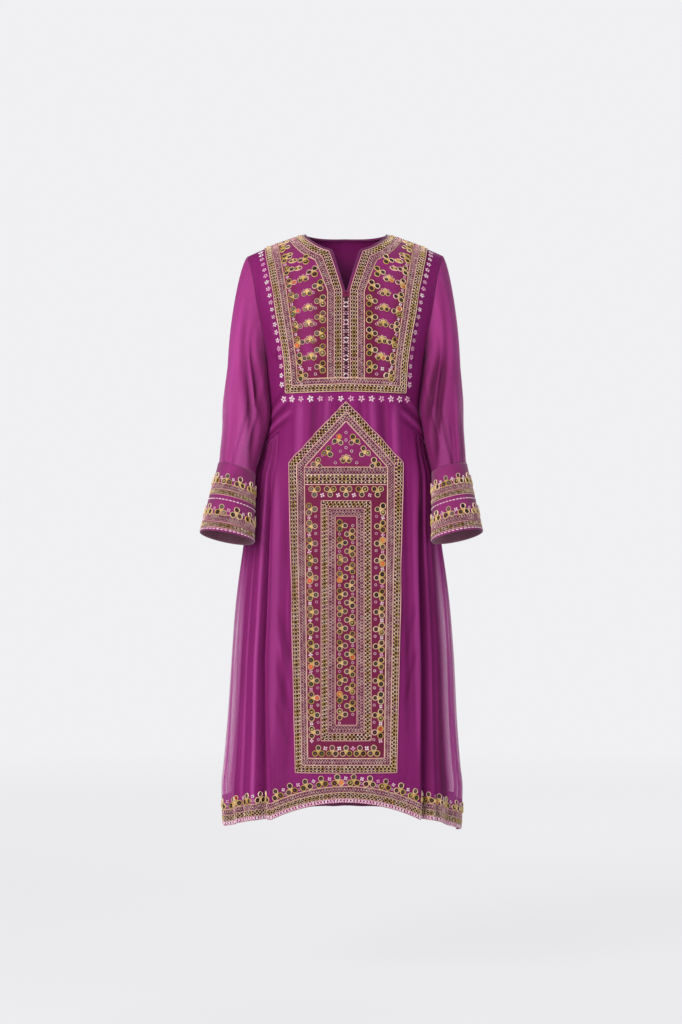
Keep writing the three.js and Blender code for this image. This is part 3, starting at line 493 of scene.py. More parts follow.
def tubeCloth(hand, shares, rows):
    # a tube opened flat: across runs round it from its outermost line
    ringLengths = np.linalg.norm(np.diff(rows, axis=1), axis=2).sum(axis=1)
    fall = np.linalg.norm(np.diff(rows, axis=0), axis=2).mean(axis=1)
    v = -np.concatenate([[0], np.cumsum(fall)])
    wayRound = ringLengths.mean()
    sign = -1 if hand == "left" else 1
    reach = len(shares) // 5
    wrapped = np.concatenate([rows[:, -reach - 1:-1], rows, rows[:, 1:reach + 1]], axis=1)
    places = np.concatenate([shares[-reach - 1:-1] - 1, shares, shares[1:reach + 1] + 1])
    across = sign * places * wayRound
    if sign < 0:
        across, wrapped = across[::-1], wrapped[:, ::-1]
    made = Cloth(across, v, wrapped)
    made.round, made.sign = wayRound, sign
    return made


def sleeveCreases(share, run):
    sunk = np.zeros(np.broadcast(share, run).shape)
    for start, end, wide, depth, begin, finish in sleeve["creases"]:
        t = (run - begin) / (finish - begin)
        reach = ease(t / 0.35) * ease((1 - t) / 0.35)
        sunk = sunk + depth * reach * trough((share - lerp(start, end, t) + 0.5) % 1 - 0.5, wide)
    return sunk


def sleeveCloth(hand):
    shares = np.linspace(0, 1, sleeve["columns"] + 1)
    loop = armholeLoop(hand, shares)
    loop[-1] = loop[0]
    rings = sleeveRings[hand]
    first = sleeveRing(hand, rings[0][0], shares)
    sign = 1 if hand == "left" else -1
    under = np.sin(np.pi * shares) ** 6
    control = np.stack([
        lerp(loop[:, 0], first[:, 0], sleeve["bulge"]) + sign * sleeve["lift"] * under,
        lerp(loop[:, 1], first[:, 1], 0.5),
        lerp(loop[:, 2], first[:, 2], sleeve["drop"]) + sleeve["lift"] * under,
    ], axis=1)
    rows = []
    for u in np.linspace(0, 1, sleeve["capRows"] + 1):
        rows.append(loop * (1 - u) ** 2 + control * 2 * u * (1 - u) + first * u * u)
    bottom = rings[sleeve["cuffTop"]][0] + walls["seamGap"]
    for level in np.linspace(rings[0][0], bottom, sleeve["lowerRows"] + 1)[1:]:
        rows.append(sleeveRing(hand, level, shares))
    rows = np.array(rows)
    cloth = tubeCloth(hand, shares, rows)
    lengths = -cloth.v / -cloth.v[-1]
    s, r = np.meshgrid(shares, lengths)
    sink = sleeve["trough"]
    middle = lerp(sink["start"], sink["end"], r)
    deep = sink["deep"] * np.sin(np.pi * r) * trough(s - middle, sink["wide"])
    deep = deep + sleeveCreases(s, r)
    level = rows[:, sleeve["columns"] // 2, 2]
    full = along(sleeve["fullRows"], sleeve["fullNames"], "level", level, hand)
    full = full * ease(np.arange(len(rows)) / sleeve["fullEase"])
    deep = deep - full[:, None] * trough(s - 0.5, sleeve["fullWide"])
    normals = np.cross(np.gradient(rows, axis=1), np.gradient(rows, axis=0))
    normals /= np.maximum(np.linalg.norm(normals, axis=2), 1e-9)[:, :, None]
    middleLine = rows.mean(axis=1, keepdims=True)
    normals *= np.where((normals * (rows - middleLine)).sum(axis=2) < 0, -1, 1)[:, :, None]
    hung = rows - normals * deep[:, :, None]
    hung[:, 0] = hung[:, -1] = (hung[:, 0] + hung[:, -1]) / 2
    return tubeCloth(hand, shares, hung)


def cuffCloth(hand):
    shares = np.linspace(0, 1, sleeve["columns"] + 1)
    rings = sleeveRings[hand]
    levels = np.linspace(rings[sleeve["cuffTop"]][0], rings[-1][0], 41)
    return tubeCloth(hand, shares, np.array([sleeveRing(hand, level, shares) for level in levels]))


print("surfaces of the sleeves and cuffs")
for hand in hands:
    cloths["sleeve" + hand] = sleeveCloth(hand)
    cloths["cuff" + hand] = cuffCloth(hand)


class Wire:
    # a shader socket that can stand in a sum; each operator adds a Math node
    def __init__(self, tree, socket):
        self.tree, self.socket = tree, socket

    def sum(self, operation, *parts):
        node = self.tree.nodes.new("ShaderNodeMath")
        node.operation = operation
        for slot, part in enumerate(parts):
            if isinstance(part, Wire):
                self.tree.links.new(part.socket, node.inputs[slot])
            else:
                node.inputs[slot].default_value = part
        return Wire(self.tree, node.outputs[0])

    def __add__(self, other):
        return self.sum("ADD", self, other)

    def __radd__(self, other):
        return self.sum("ADD", other, self)

    def __sub__(self, other):
        return self.sum("SUBTRACT", self, other)

    def __rsub__(self, other):
        return self.sum("SUBTRACT", other, self)

    def __mul__(self, other):
        return self.sum("MULTIPLY", self, other)

    def __truediv__(self, other):
        return self.sum("DIVIDE", self, other)

    def clamp(self):
        return self.sum("MINIMUM", self.sum("MAXIMUM", self, 0.0), 1.0)


class Finish:
    # a material on one Principled shader
    def __init__(self, name, **fixed):
        self.material = bpy.data.materials.new(name)
        self.material.use_nodes = True
        self.tree = self.material.node_tree
        self.shader = self.tree.nodes["Principled BSDF"]
        for socket, value in fixed.items():
            self.shader.inputs[socket.replace("_", " ")].default_value = value

    def node(self, kind, settings=None, sockets=None, output=0):
        node = self.tree.nodes.new(kind)
        for name, value in (settings or {}).items():
            if name == "stops":
                while len(node.color_ramp.elements) < len(value):
                    node.color_ramp.elements.new(0.5)
                for element, (place, colour) in zip(node.color_ramp.elements, value):
                    element.position, element.color = place, colour
            else:
                setattr(node, name, value)
        for name, value in (sockets or {}).items():
            if isinstance(value, Wire):
                self.tree.links.new(value.socket, node.inputs[name])
            else:
                node.inputs[name].default_value = value
        return Wire(self.tree, node.outputs[output])

    def mix(self, factor, first, second):
        return self.node("ShaderNodeMix", {"data_type": "RGBA"},
                         {"Factor": factor, 6: first, 7: second}, output=2)

    def noise(self, where, scale, detail=2.0, roughness=0.5):
        return self.node("ShaderNodeTexNoise", None, {
            "Vector": where, "Scale": scale, "Detail": detail, "Roughness": roughness})

    def bands(self, where, direction, scale, distortion):
        return self.node("ShaderNodeTexWave", {"wave_type": "BANDS", "bands_direction": direction},
                         {"Vector": where, "Scale": scale, "Distortion": distortion})

    def stretched(self, where, scale):
        return self.node("ShaderNodeVectorMath", {"operation": "MULTIPLY"}, {0: where, 1: scale})

    def attribute(self, name):
        return self.node("ShaderNodeAttribute", {"attribute_name": name}, None, output=2)

    def feed(self, socket, wire):
        self.tree.links.new(wire.socket, self.shader.inputs[socket])

    def bump(self, height, strength, distance, under=None):
        sockets = {"Height": height, "Strength": strength, "Distance": distance}
        if under is not None:
            sockets["Normal"] = under
        return self.node("ShaderNodeBump", None, sockets)


def colour(red, green, blue):
    # from screen values, 0 to 255
    def linear(value):
        value /= 255
        return value / 12.92 if value <= 0.04045 else ((value + 0.055) / 1.055) ** 2.4
    return (linear(red), linear(green), linear(blue), 1.0)


clothUv = "cloth"


def uvWire(finish):
    return finish.node("ShaderNodeUVMap", {"uv_map": clothUv})


def chiffonFinish(name, light, deep, streaks=0.5):
    finish = Finish(name, Roughness=0.62, Sheen_Weight=0.12, Sheen_Roughness=0.4,
                    Sheen_Tint=colour(236, 120, 205), Specular_IOR_Level=0.12)
    uv = uvWire(finish)
    cloudy = finish.noise(finish.stretched(uv, (1.0, 0.35, 1.0)), 14.0, 3.0)
    streaky = finish.noise(finish.stretched(uv, (1.0, 0.05, 1.0)), 38.0, 2.0)
    sheer = finish.attribute("sheer")
    # warp and weft at 0.7 mm, and the tiny pebbles of crepe yarn
    warp, weft = (finish.bands(uv, direction, 450.0, 1.2) for direction in "XY")
    crepe = finish.noise(uv, 900.0, 1.0)
    # tone between deep and light: cloudy tone that differs at random, and vertical streaks that are partly
    # painted shade of soft folds
    shade = (cloudy * 0.9 + streaky * streaks + crepe * 0.25 - 0.45).clamp()
    paintedShadingField = finish.attribute("fold")  # painted shading: above 0 painted shade where the cloth lies in folds and creases, which also makes it more opaque where it lies double; below 0 painted light where it is lit through
    fold, lit = paintedShadingField.clamp(), (paintedShadingField * -1.0).clamp()
    # painted light: where the cloth is sheerer than 0.3, and where the shading field is below 0, the colour
    # is lightened towards the pale airy colour
    dyed = finish.mix(((sheer - 0.3) * 2.0).clamp(), finish.mix(shade, deep, light), palette["paintedLitThrough"])
    dyed = finish.mix(lit * 0.6, dyed, palette["paintedLitThrough"])
    # painted shade: the colour is darkened towards the fold colour where the shading field is above 0
    finish.feed("Base Color", finish.mix(fold * 0.85, dyed, palette["fold"]))
    finish.feed("Roughness", 0.55 + crepe * 0.2)
    threads = warp * 0.5 + weft * 0.5
    openness = (1.0 - threads) * 0.25
    finish.feed("Alpha", (1.0 - (sheer + sheer * openness) * (1.0 - fold * 0.8)).clamp())
    soft = finish.bump(streaky + cloudy * 1.5, 0.3, 0.005)
    finish.feed("Normal", finish.bump(threads + crepe, 0.12, 0.0004, soft))
    return finish.material


def groundFinish(name, light, deep, weaveScale=380.0, wine=None):
    finish = Finish(name, Roughness=0.75, Sheen_Weight=0.2, Specular_IOR_Level=0.2)
    uv = uvWire(finish)
    cloudy = finish.noise(uv, 22.0, 4.0, 0.6)
    pebble = finish.noise(uv, 420.0, 2.0)
    weave = finish.bands(uv, "DIAGONAL", weaveScale, 2.0)
    shade = (cloudy * 1.3 + pebble * 0.5 - 0.5).clamp()
    dyed = finish.mix(shade, deep, light)
    if wine:
        dyed = finish.mix(finish.attribute("wine"), dyed, finish.mix(shade, wine, deep))
    finish.feed("Base Color", dyed)
    finish.feed("Roughness", 0.65 + pebble * 0.25)
    finish.feed("Normal", finish.bump(weave * 0.6 + pebble, 0.3, 0.0006))
    return finish.material


def threadFinish(name, stops, metallic, roughness, grain=1500.0):
    # thread or cord: its tone attribute picks the dye lot of each stitch
    finish = Finish(name, Metallic=metallic, Specular_IOR_Level=0.4)
    tone = finish.attribute("tone")
    place = finish.node("ShaderNodeTexCoord", output=3)
    fibre = finish.noise(place, grain, 2.0)
    dye = finish.node("ShaderNodeValToRGB", {"stops": stops}, {"Fac": tone})
    dull = finish.node("ShaderNodeVectorMath", {"operation": "SCALE"}, {0: dye, "Scale": 0.62})
    finish.feed("Base Color", finish.mix((fibre * 2.0 - 0.5).clamp(), dull, dye))
    finish.feed("Roughness", roughness + fibre * 0.2)
    finish.feed("Normal", finish.bump(fibre, 0.4, 0.0004))
    return finish.material


palette = {
    # light and deep bound the chiffon's random tone; the fold colour is the dark colour of painted shade in
    # folds and creases
    "light": colour(154, 40, 124), "deep": colour(112, 21, 86), "fold": colour(66, 6, 42),
    # the gores' and sleeves' colours are lighter copies of the same magenta chiffon: painted light
    "goreLight": colour(166, 46, 134), "goreDeep": colour(118, 22, 92),
    # the airy colour is the pale colour of painted light where the cloth is sheer or lit through
    "paintedLitThrough": colour(214, 96, 184),
    "sleeveLight": colour(196, 68, 160), "sleeveDeep": colour(146, 36, 112),
    "gold": colour(242, 210, 166), "oldGold": colour(230, 200, 126), "cream": colour(255, 230, 200),
    "pink": colour(244, 192, 186), "rose": colour(196, 124, 148), "paleFlower": colour(252, 218, 232),
}

materials = {
    "cloth": chiffonFinish("magenta chiffon", palette["light"], palette["deep"]),
    # the gores and the sleeves take lighter copies of the same chiffon, painted light
    "gore": chiffonFinish("gathered chiffon", palette["goreLight"], palette["goreDeep"], 0.7),
    "sleeve": chiffonFinish("sleeve chiffon", palette["sleeveLight"], palette["sleeveDeep"], 0.6),
    "ground": groundFinish("embroidery ground", colour(146, 36, 116), colour(112, 20, 74), 380.0,
                           colour(96, 12, 40)),
    "cuffGround": groundFinish("cuff ground", colour(152, 42, 120), colour(108, 24, 78)),
    "cuffLining": groundFinish("cuff lining", colour(150, 104, 122), colour(112, 70, 88)),
    "facing": groundFinish("facing", colour(112, 44, 84), colour(78, 28, 58)),
    "darkFill": groundFinish("dark stitched ground", colour(70, 12, 34), colour(16, 2, 8), 900.0),
    "plumFill": groundFinish("plum stitched ground", colour(76, 14, 46), colour(26, 4, 18), 900.0),
    "binding": groundFinish("plum binding", colour(128, 36, 102), colour(84, 20, 66), 700.0),
    "cord": threadFinish("gold cord", [
        (0.0, colour(196, 160, 84)), (0.25, palette["oldGold"]), (0.5, palette["gold"]),
        (0.8, palette["cream"]), (1.0, palette["pink"])], 0.05, 0.45),
    "line": threadFinish("couched line", [
        (0.0, colour(228, 194, 160)), (0.5, colour(218, 164, 158)), (1.0, colour(236, 200, 180))],
        0.1, 0.4),
    "pinkThread": threadFinish("pink thread", [
        (0.0, palette["rose"]), (0.5, colour(232, 174, 180)), (1.0, colour(255, 220, 210))], 0.0, 0.5),
    "flowerThread": threadFinish("pale flower thread", [
        (0.0, colour(238, 170, 205)), (0.6, palette["paleFlower"]), (1.0, colour(255, 240, 244))],
        0.0, 0.4),
    "sequin": threadFinish("dark sequins", [
        (0.0, colour(22, 8, 12)), (0.3, colour(74, 26, 34)), (0.55, colour(46, 52, 34)),
        (0.8, colour(70, 38, 30)), (1.0, colour(96, 70, 66))], 0.4, 0.25, 300.0),
    "seamThread": threadFinish("seam thread", [
        (0.0, colour(118, 26, 92)), (1.0, colour(160, 52, 130))], 0.0, 0.6),
    "ember": threadFinish("orange sequins", [
        (0.0, colour(170, 40, 40)), (0.5, colour(222, 110, 60)), (1.0, colour(240, 160, 90))],
        0.3, 0.3, 300.0),
}

# cloth pieces
toMetres = 0.001


def gridShares(bm, columns, rows):
    # a plain grid's new vertices and their places on it, 0 to 1 each way
    made = bmesh.ops.create_grid(bm, x_segments=columns, y_segments=rows, size=0.5)["verts"]
    shares = np.array([(v.co.x + 0.5, v.co.y + 0.5) for v in made])
    return made, shares


def setFlat(verts, flat):
    for vert, (across, v) in zip(verts, flat):
        vert.co = (across, v, 0)


def linked(name, data):
    made = bpy.data.objects.new(name, data)
    bpy.context.scene.collection.objects.link(made)
    return made


def flatPatch(columns, rows, acrossEnds, vEnds):
    # a rectangle cut flat
    bm = bmesh.new()
    verts, shares = gridShares(bm, columns, rows)
    setFlat(verts, pairs(lerp(*acrossEnds, shares[:, 0]), lerp(*vEnds, shares[:, 1])))
    return bm


def drape(name, bm, cloth, out, thick, materialName, fields=None, lining=None):
    # a piece cut flat, in millimetres, is hung on its surface and given its thickness
    bmesh.ops.remove_doubles(bm, verts=bm.verts, dist=0.3)
    bm.normal_update()
    bmesh.ops.reverse_faces(bm, faces=[face for face in bm.faces if face.normal.z < 0])
    flat = np.array([vert.co[:2] for vert in bm.verts])
    flatArea = sum(face.calc_area() for face in bm.faces) * toMetres ** 2
    uv = bm.loops.layers.uv.new(clothUv)
    for face in bm.faces:
        face.smooth = True
        for loop in face.loops:
            loop[uv].uv = (loop.vert.co.x * toMetres, loop.vert.co.y * toMetres)
    points = cloth.at(flat[:, 0], flat[:, 1], out) * toMetres
    for vert, point in zip(bm.verts, points):
        vert.co = point
    mesh = bpy.data.meshes.new(name)
    bm.to_mesh(mesh)
    bm.free()
    for field, fieldOf in (fields or {}).items():
        values = mesh.attributes.new(field, "FLOAT", "POINT")
        values.data.foreach_set("value", np.asarray(fieldOf(flat), np.float32))
    mesh.materials.append(materials[materialName])
    if lining:
        mesh.materials.append(materials[lining])
    piece = linked(name, mesh)
    wall = piece.modifiers.new("wall", "SOLIDIFY")
    wall.thickness, wall.offset = thick * toMetres, 1
    wall.use_even_offset = False
    wall.material_offset = 1 if lining else 0
    size = (flat.max(axis=0) - flat.min(axis=0)) * toMetres
    return piece, [float(value) for value in size], float(flatArea)


def hemLevel(name, share):
    return form["hemMiddle"][name] + (form["hemEdge"][name] - form["hemMiddle"][name]) * share ** 2


def hemDown(side, across):
    # cloth length down to the hem of a panel, which rises towards the middle
    name = side["name"]
    result = np.zeros_like(across)
    for hand in hands:
        mine = (side["facing"] * across > 0) == (hand == "right")
        share = np.abs(across[mine]) / hemReach(side, hand)
        result[mine] = downAt(side, hemLevel(name, share))
    return result


def neckInner(side, t, corner, tip, outward):
    # finished neck line, from the shoulder seam round to the middle, then down the centre line
    name = side["name"]
    wide, drop = form["neckHalf"] + outward, form["neckDrop"][name] + outward
    bottom = downAt(side, form["goreTopEdge"])
    if name == "back":
        turn = np.pi / 2 * np.clip(t / corner, 0, 1)
        across, down = wide * np.cos(turn), drop * np.sin(turn)
        below = t > corner
        across = np.where(below, 0, across)
        down = np.where(below, lerp(drop, bottom, (t - corner) / (1 - corner)), down)
        return across, down
    slit = form["slitHalf"] + outward
    endTurn = np.arccos(slit / wide)
    cornerDown = drop * np.sin(endTurn)
    turn = endTurn * np.clip(t / corner, 0, 1)
    across, down = wide * np.cos(turn), drop * np.sin(turn)
    onSlit = (t > corner) & (t <= tip)
    share = (t - corner) / (tip - corner)
    across = np.where(onSlit, lerp(slit, form["slitTipHalf"] * 0.2 + 2.5, share), across)
    down = np.where(onSlit, lerp(cornerDown, form["slitTip"] + outward * 0.4, share), down)
    below = t > tip
    across = np.where(below, 0, across)
    down = np.where(below, lerp(form["slitTip"] + outward, bottom, (t - tip) / (1 - tip)), down)
    return across, down


panelGrid = {"columns": {"front": 64, "back": 44}, "upperRows": {"front": 126, "back": 90},
             "lowerRows": {"front": 100, "back": 90}, "corner": 0.2, "tip": 0.4,
             "shade": {"front": 8, "back": 26}}


def panelFlat(side):
    # a whole panel cut flat: an upper and a lower patch for each hand
    bm = bmesh.new()
    name = side["name"]
    gap = walls["seamGap"]
    for hand in hands:
        sign = handSign(side, hand)
        sideDown = downAt(side, form["goreTopSide"])
        edgeDown = downAt(side, form["goreTopEdge"])
        edgeAcross = goreAcross(side, hand, 0, form["goreTopEdge"])[0]
        total = edgeLength(side, edgeDown, hand)[0] - gap / 2
        split = edgeAcross / total
        allColumns, upperRows = panelGrid["columns"][name], panelGrid["upperRows"][name]
        inColumns = round(allColumns * split)
        tip = round(panelGrid["tip"] * upperRows) / upperRows
        corner = panelGrid["corner"] if name == "front" else 0.22
        for part, columns in (("in", inColumns), ("out", allColumns - inColumns)):
            verts, shares = gridShares(bm, columns, upperRows)
            t = 1 - shares[:, 1]
            c = shares[:, 0] * split if part == "in" else lerp(split, 1, shares[:, 0])
            outward = 2 * form["bindingRadius"] + 1.5 * gap
            inAcross, inDown = neckInner(side, t, corner, tip, outward)
            outDown = gap / 2 + sideDown * (0.75 * t + 0.25 * t ** 2)
            kink = np.where(c < split, edgeDown, lerp(edgeDown, sideDown, (c - split) / (1 - split)))
            kink = kink - lerp(edgeDown, sideDown, c)
            down = lerp(inDown, outDown, c) + kink * t ** 4
            down = np.maximum(down, gap / 2)
            outer = edgeLength(side, down, hand) - np.where(down > side["underarm"], gap / 2, 0)
            setFlat(verts, pairs(sign * lerp(inAcross, outer, c), -down))
        verts, shares = gridShares(bm, inColumns, panelGrid["lowerRows"][name])
        share = shares[:, 0]
        level = lerp(form["goreTopEdge"], hemLevel(name, share), 1 - shares[:, 1])
        edge = goreAcross(side, hand, 0, level)
        setFlat(verts, pairs(sign * edge * share, -downAt(side, level)))
    return bm


print("front and back panels")
sheets = {}
for name, side in sides.items():
    thin = 0.12 if name == "front" else 0.05
    sheets[name] = drape(name + "Panel", panelFlat(side), cloths[name], 0, walls["cloth"], "cloth", {
        "sheer": lambda flat, thin=thin: thin + 0.1 * ease((-flat[:, 1] - 500) / 300),
        # painted shading: darker in the creases and lighter on the ridges, by the crease depth over the
        # panel's shade divisor
        "fold": lambda flat, name=name: np.clip(
            creaseSink(creases[name], flat[:, 0], -flat[:, 1]) / panelGrid["shade"][name], -0.3, 0.7)})

print("gores")
# columns and rows of the mesh, how much more light each side's middle lets through, and half the width
# over which it does
goreLook = {"mesh": (170, 100), "more": {"right": 0.4, "left": 0.34}, "half": {"right": 0.14, "left": 0.18}}


def goreFields(hand):
    cloth = cloths["gore" + hand]
    total, fall = np.abs(cloth.across).max(), -cloth.v[-1]

    def sheerOf(flat):
        across, share = np.abs(flat[:, 0]) / total, -flat[:, 1] / fall
        near = 1 - ease((np.abs(across - 0.5) - goreLook["half"][hand]) / 0.06)
        near = near - 0.35 * trough(across - 0.5, 0.02)  # a denser line where the outline lies
        start = 0.1 + 0.12 * np.abs(np.sin(40 * across))
        plain = lerp(0.3, 0.16, ease((across - 0.56) / 0.12))
        return plain + goreLook["more"][hand] * near * ease((share - start) / 0.3)

    # painted shading of a gore: painted shade in the valleys and pleats, in fine lines across its middle
    # and near the front edge of the left gore; painted light on the ridges
    def paintedShadingOf(flat):
        across, share = np.abs(flat[:, 0]) / total, -flat[:, 1] / fall
        paintedValleyShade = goreSunk(hand, across, share) / 20 * ease((share - 0.05) / 0.2)
        lights = sum(light * trough(across - at - 0.02 * share, wide) * ease((share - start) / 0.12)
                     for at, wide, light, start in paintedGoreLights[hand])
        paintedRidgeLight = pleatSunk(hand, across - 0.018, share) / 9
        sway = 0.5 * np.sin(2.2 * share + 1) + 0.3 * np.sin(5 * share)
        lines = 0.32 * ease((np.cos(2 * np.pi * (17 * across + sway)) - 0.5) / 0.45)
        lines = lines * ease((across - 0.3) / 0.06) * (1 - ease((across - 0.66) / 0.06))
        paintedSideShade = 0.22 * (1 - ease((across - 0.2) / 0.15)) if hand == "left" else 0
        return paintedValleyShade + pleatSunk(hand, across, share) / 7 - paintedRidgeLight - lights + lines + paintedSideShade
    return {"sheer": sheerOf, "fold": paintedShadingOf}


for hand in hands:
    cloth = cloths["gore" + hand]
    bm = flatPatch(*goreLook["mesh"], (cloth.across[0], cloth.across[-1]), (cloth.v[-1], cloth.v[0]))
    sheets["gore" + hand] = drape("sideGore" + hand.capitalize(), bm, cloth, 0, walls["cloth"], "gore",
                                  goreFields(hand))

print("sleeves and cuffs")


def sleeveFields(cloth):
    def sheerOf(flat):
        share = np.abs(flat[:, 0]) / cloth.round
        outer = 1 - ease(np.minimum(share, 1 - share) / 0.16)
        arm = trough(share - 0.3, 0.13) * ease((-flat[:, 1] - 110) / 140)
        return 0.3 + 0.24 * outer * ease((-flat[:, 1] - 90) / 160) + 0.16 * arm

    # painted shading of a sleeve: painted shade in its trough, on its inner side towards the body, in its
    # creases, and over much of the left sleeve
    def paintedShadingOf(flat):
        share, run = np.abs(flat[:, 0]) / cloth.round, -flat[:, 1] / -cloth.v[-1]
        sink = sleeve["trough"]
        middle = lerp(sink["start"], sink["end"], run)
        inner = 0.5 * trough(share - 0.46, 0.13) * ease((run - 0.2) / 0.3)
        paintedCreaseShade = sleeveCreases(share, run) / 10
        paintedSideShade = 0.55 * trough(share - 0.26, 0.3) * ease((run - 0.15) / 0.3) if cloth.sign < 0 else 0
        paintedTroughShade = 0.8 * np.sin(np.pi * run) ** 0.7 * trough(share - middle, sink["wide"] * 0.8)
        return paintedTroughShade + inner + paintedCreaseShade + paintedSideShade
    return {"sheer": sheerOf, "fold": paintedShadingOf}


for hand in hands:
    for part, rows, out, thick, materialName in (
            ("sleeve", 92, -walls["cloth"], walls["cloth"], "sleeve"),
            ("cuff", 36, -walls["cuff"] / 2, walls["cuff"], "cuffGround")):
        cloth = cloths[part + hand]
        bm = flatPatch(sleeve["columns"], rows, (0, cloth.sign * cloth.round), (cloth.v[-1], cloth.v[0]))
        sheets[part + hand] = drape(part + hand.capitalize(), bm, cloth, out, thick, materialName,
                                    sleeveFields(cloth) if part == "sleeve" else None,
                                    "cuffLining" if part == "cuff" else None)
        mesh = sheets[part + hand][0].data
        seam = bmesh.new()
        seam.from_mesh(mesh)
        bmesh.ops.remove_doubles(seam, verts=seam.verts, dist=0.0001)
        seam.to_mesh(mesh)
        seam.free()

print("yoke and pocket panel")
# down and half width of the yoke
yokeEdge = [(0.4, 170), (60, 166), (112, 158), (165, 150), (215, 144), (275, 136), (330, 129), (386, 127)]
yoke = {"bottom": 386, "arch": 3, "frame": 30, "foot": 28, "rows": 96, "columns": 34, "corner": 0.3,
        "tip": 0.56, "motifStep": 33.2}
# half width and down at the apex, shoulder and foot of the pocket panel
pocket = {
    "columns": 48, "rows": (30, 120), "motifStep": 33.6,
    "outer": [(0, 401), (116, 523), (100.5, 1133)],
    "inner": [(0, 442), (82, 533), (74.5, 1103)],
    "closing": (532.6, 547.6, 567), "insetHalf": 49.7, "insetTop": 598, "insetBottom": 1070,
    "insetFrame": 29.3,
}
appliedLift = walls["cloth"] + walls["seamGap"]
surfaceLift = appliedLift + walls["applied"]


def yokeHalf(down):
    return np.interp(down, [d for d, half in yokeEdge], [half for d, half in yokeEdge])


def yokeFlat():
    bm = bmesh.new()
    side = sides["front"]
    outward = 2 * form["bindingRadius"] + 1.5 * walls["seamGap"]
    tip = round(yoke["tip"] * yoke["rows"]) / yoke["rows"]
    for sign in (1, -1):
        verts, shares = gridShares(bm, yoke["columns"], yoke["rows"])
        t, c = 1 - shares[:, 1], shares[:, 0]
        inAcross, inDown = neckInner(side, t, yoke["corner"], tip, outward)
        foot = yoke["bottom"] - yoke["arch"]
        below = t > tip
        slitDown = form["slitTip"] + outward
        inDown = np.where(below, lerp(slitDown, foot, (t - tip) / (1 - tip)), inDown)
        outDown = 0.4 + (yoke["bottom"] - 0.4) * (0.75 * t + 0.25 * t ** 2)
        down = np.maximum(lerp(inDown, outDown, c), 0.4)
        setFlat(verts, pairs(sign * lerp(inAcross, yokeHalf(down), c), -down))
    return bm


def pocketHalf(share, down):
    # half width of the pocket panel at a share of its frame's width, 0 outside and 1 inside
    outer = np.array(pocket["outer"], float)
    inner = np.array(pocket["inner"], float)
    edge = lerp(outer, inner, share)
    return np.interp(down, edge[:, 1], edge[:, 0])


def pocketFlat():
    bm = bmesh.new()
    downs = [down for half, down in pocket["outer"]]
    for start, end, rows in zip(downs, downs[1:], pocket["rows"]):
        verts, shares = gridShares(bm, pocket["columns"], rows)
        down = lerp(end, start, shares[:, 1])
        setFlat(verts, pairs(lerp(-1, 1, shares[:, 0]) * pocketHalf(0, down), -down))
    return bm


# darker ground near the frame, in the inner columns and lower down the yoke
def yokeWine(flat):
    down = -flat[:, 1]
    outer = ease((yoke["frame"] + 26 - (yokeHalf(down) - np.abs(flat[:, 0]))) / 16)
    inner = ease((74 - np.abs(flat[:, 0])) / 18) * ease((down - 120) / 60)
    low = 0.8 * ease((down - 310) / 50)
    most = np.clip(np.maximum(np.maximum(outer * 0.8, inner), low), 0, 1)
    return most * (0.5 + 0.5 * ease((down - 60) / 160))


# darker ground lower down the pocket panel, below its triangle
def pocketWine(flat):
    return 0.25 + 0.7 * ease((-flat[:, 1] - 500) / 60)


for name, cutFlat, wineOf in (("yoke", yokeFlat, yokeWine), ("pocket", pocketFlat, pocketWine)):
    sheets[name] = drape(name + "Panel", cutFlat(), cloths["front"], appliedLift, walls["applied"],
                         "ground", {"wine": wineOf})

print("hem facings")
for name, side in sides.items():
    bm = bmesh.new()
    for hand in hands:
        sign = handSign(side, hand)
        verts, shares = gridShares(bm, 24, 10)
        across = sign * (hemReach(side, hand) - form["facingInset"]) * shares[:, 0]
        down = hemDown(side, across) - lerp(1, form["facingHeight"], shares[:, 1])
        setFlat(verts, pairs(across, -down))
    sheets["facing" + name] = drape("hemFacing" + name.capitalize(), bm, cloths[name],
                                    -walls["seamGap"] - walls["cloth"], walls["cloth"], "facing")
for hand in hands:
    cloth = cloths["gore" + hand]
    stop, hemV = form["facingStop"], cloth.v[-1]
    bm = flatPatch(130, 10, (cloth.across[0] + stop, cloth.across[-1] - stop),
                   (hemV + 1, hemV + form["facingHeight"]))
    sheets["facing" + hand] = drape("hemFacing" + hand.capitalize(), bm, cloth,
                                    -walls["seamGap"] - walls["cloth"], walls["cloth"], "facing")

# embroidery
stitchShapes = {}


def keepShape(name, bm):
    bm.verts.ensure_lookup_table()
    bm.normal_update()
    points = np.array([vert.co[:] for vert in bm.verts])
    faces = [[vert.index for vert in face.verts] for face in bm.faces]
    stitchShapes[name] = (points, faces)
    bm.free()


def keepOpen(name, bm):
    # the underside lies on the cloth and is left off
    bottom = [face for face in bm.faces if face.normal.z < -0.9]
    bmesh.ops.delete(bm, geom=bottom, context="FACES_ONLY")
    keepShape(name, bm)


def ringShape(name, steps, thick, tall):
    # a couched ring of cord, 1 across outside
    bm = bmesh.new()
    made = bmesh.ops.create_circle(bm, segments=3, radius=thick / 2)["verts"]
    for vert in made:
        x, y = vert.co.x, vert.co.y
        vert.co = (0.5 - thick / 2 + x, 0, (y + thick / 4) * tall)
    bmesh.ops.spin(bm, geom=bm.verts[:] + bm.edges[:], axis=(0, 0, 1), cent=(0, 0, 0), steps=steps,
                   angle=2 * math.pi, use_merge=True)
    bmesh.ops.remove_doubles(bm, verts=bm.verts, dist=0.0001)
    bmesh.ops.recalc_face_normals(bm, faces=bm.faces)
    keepShape(name, bm)


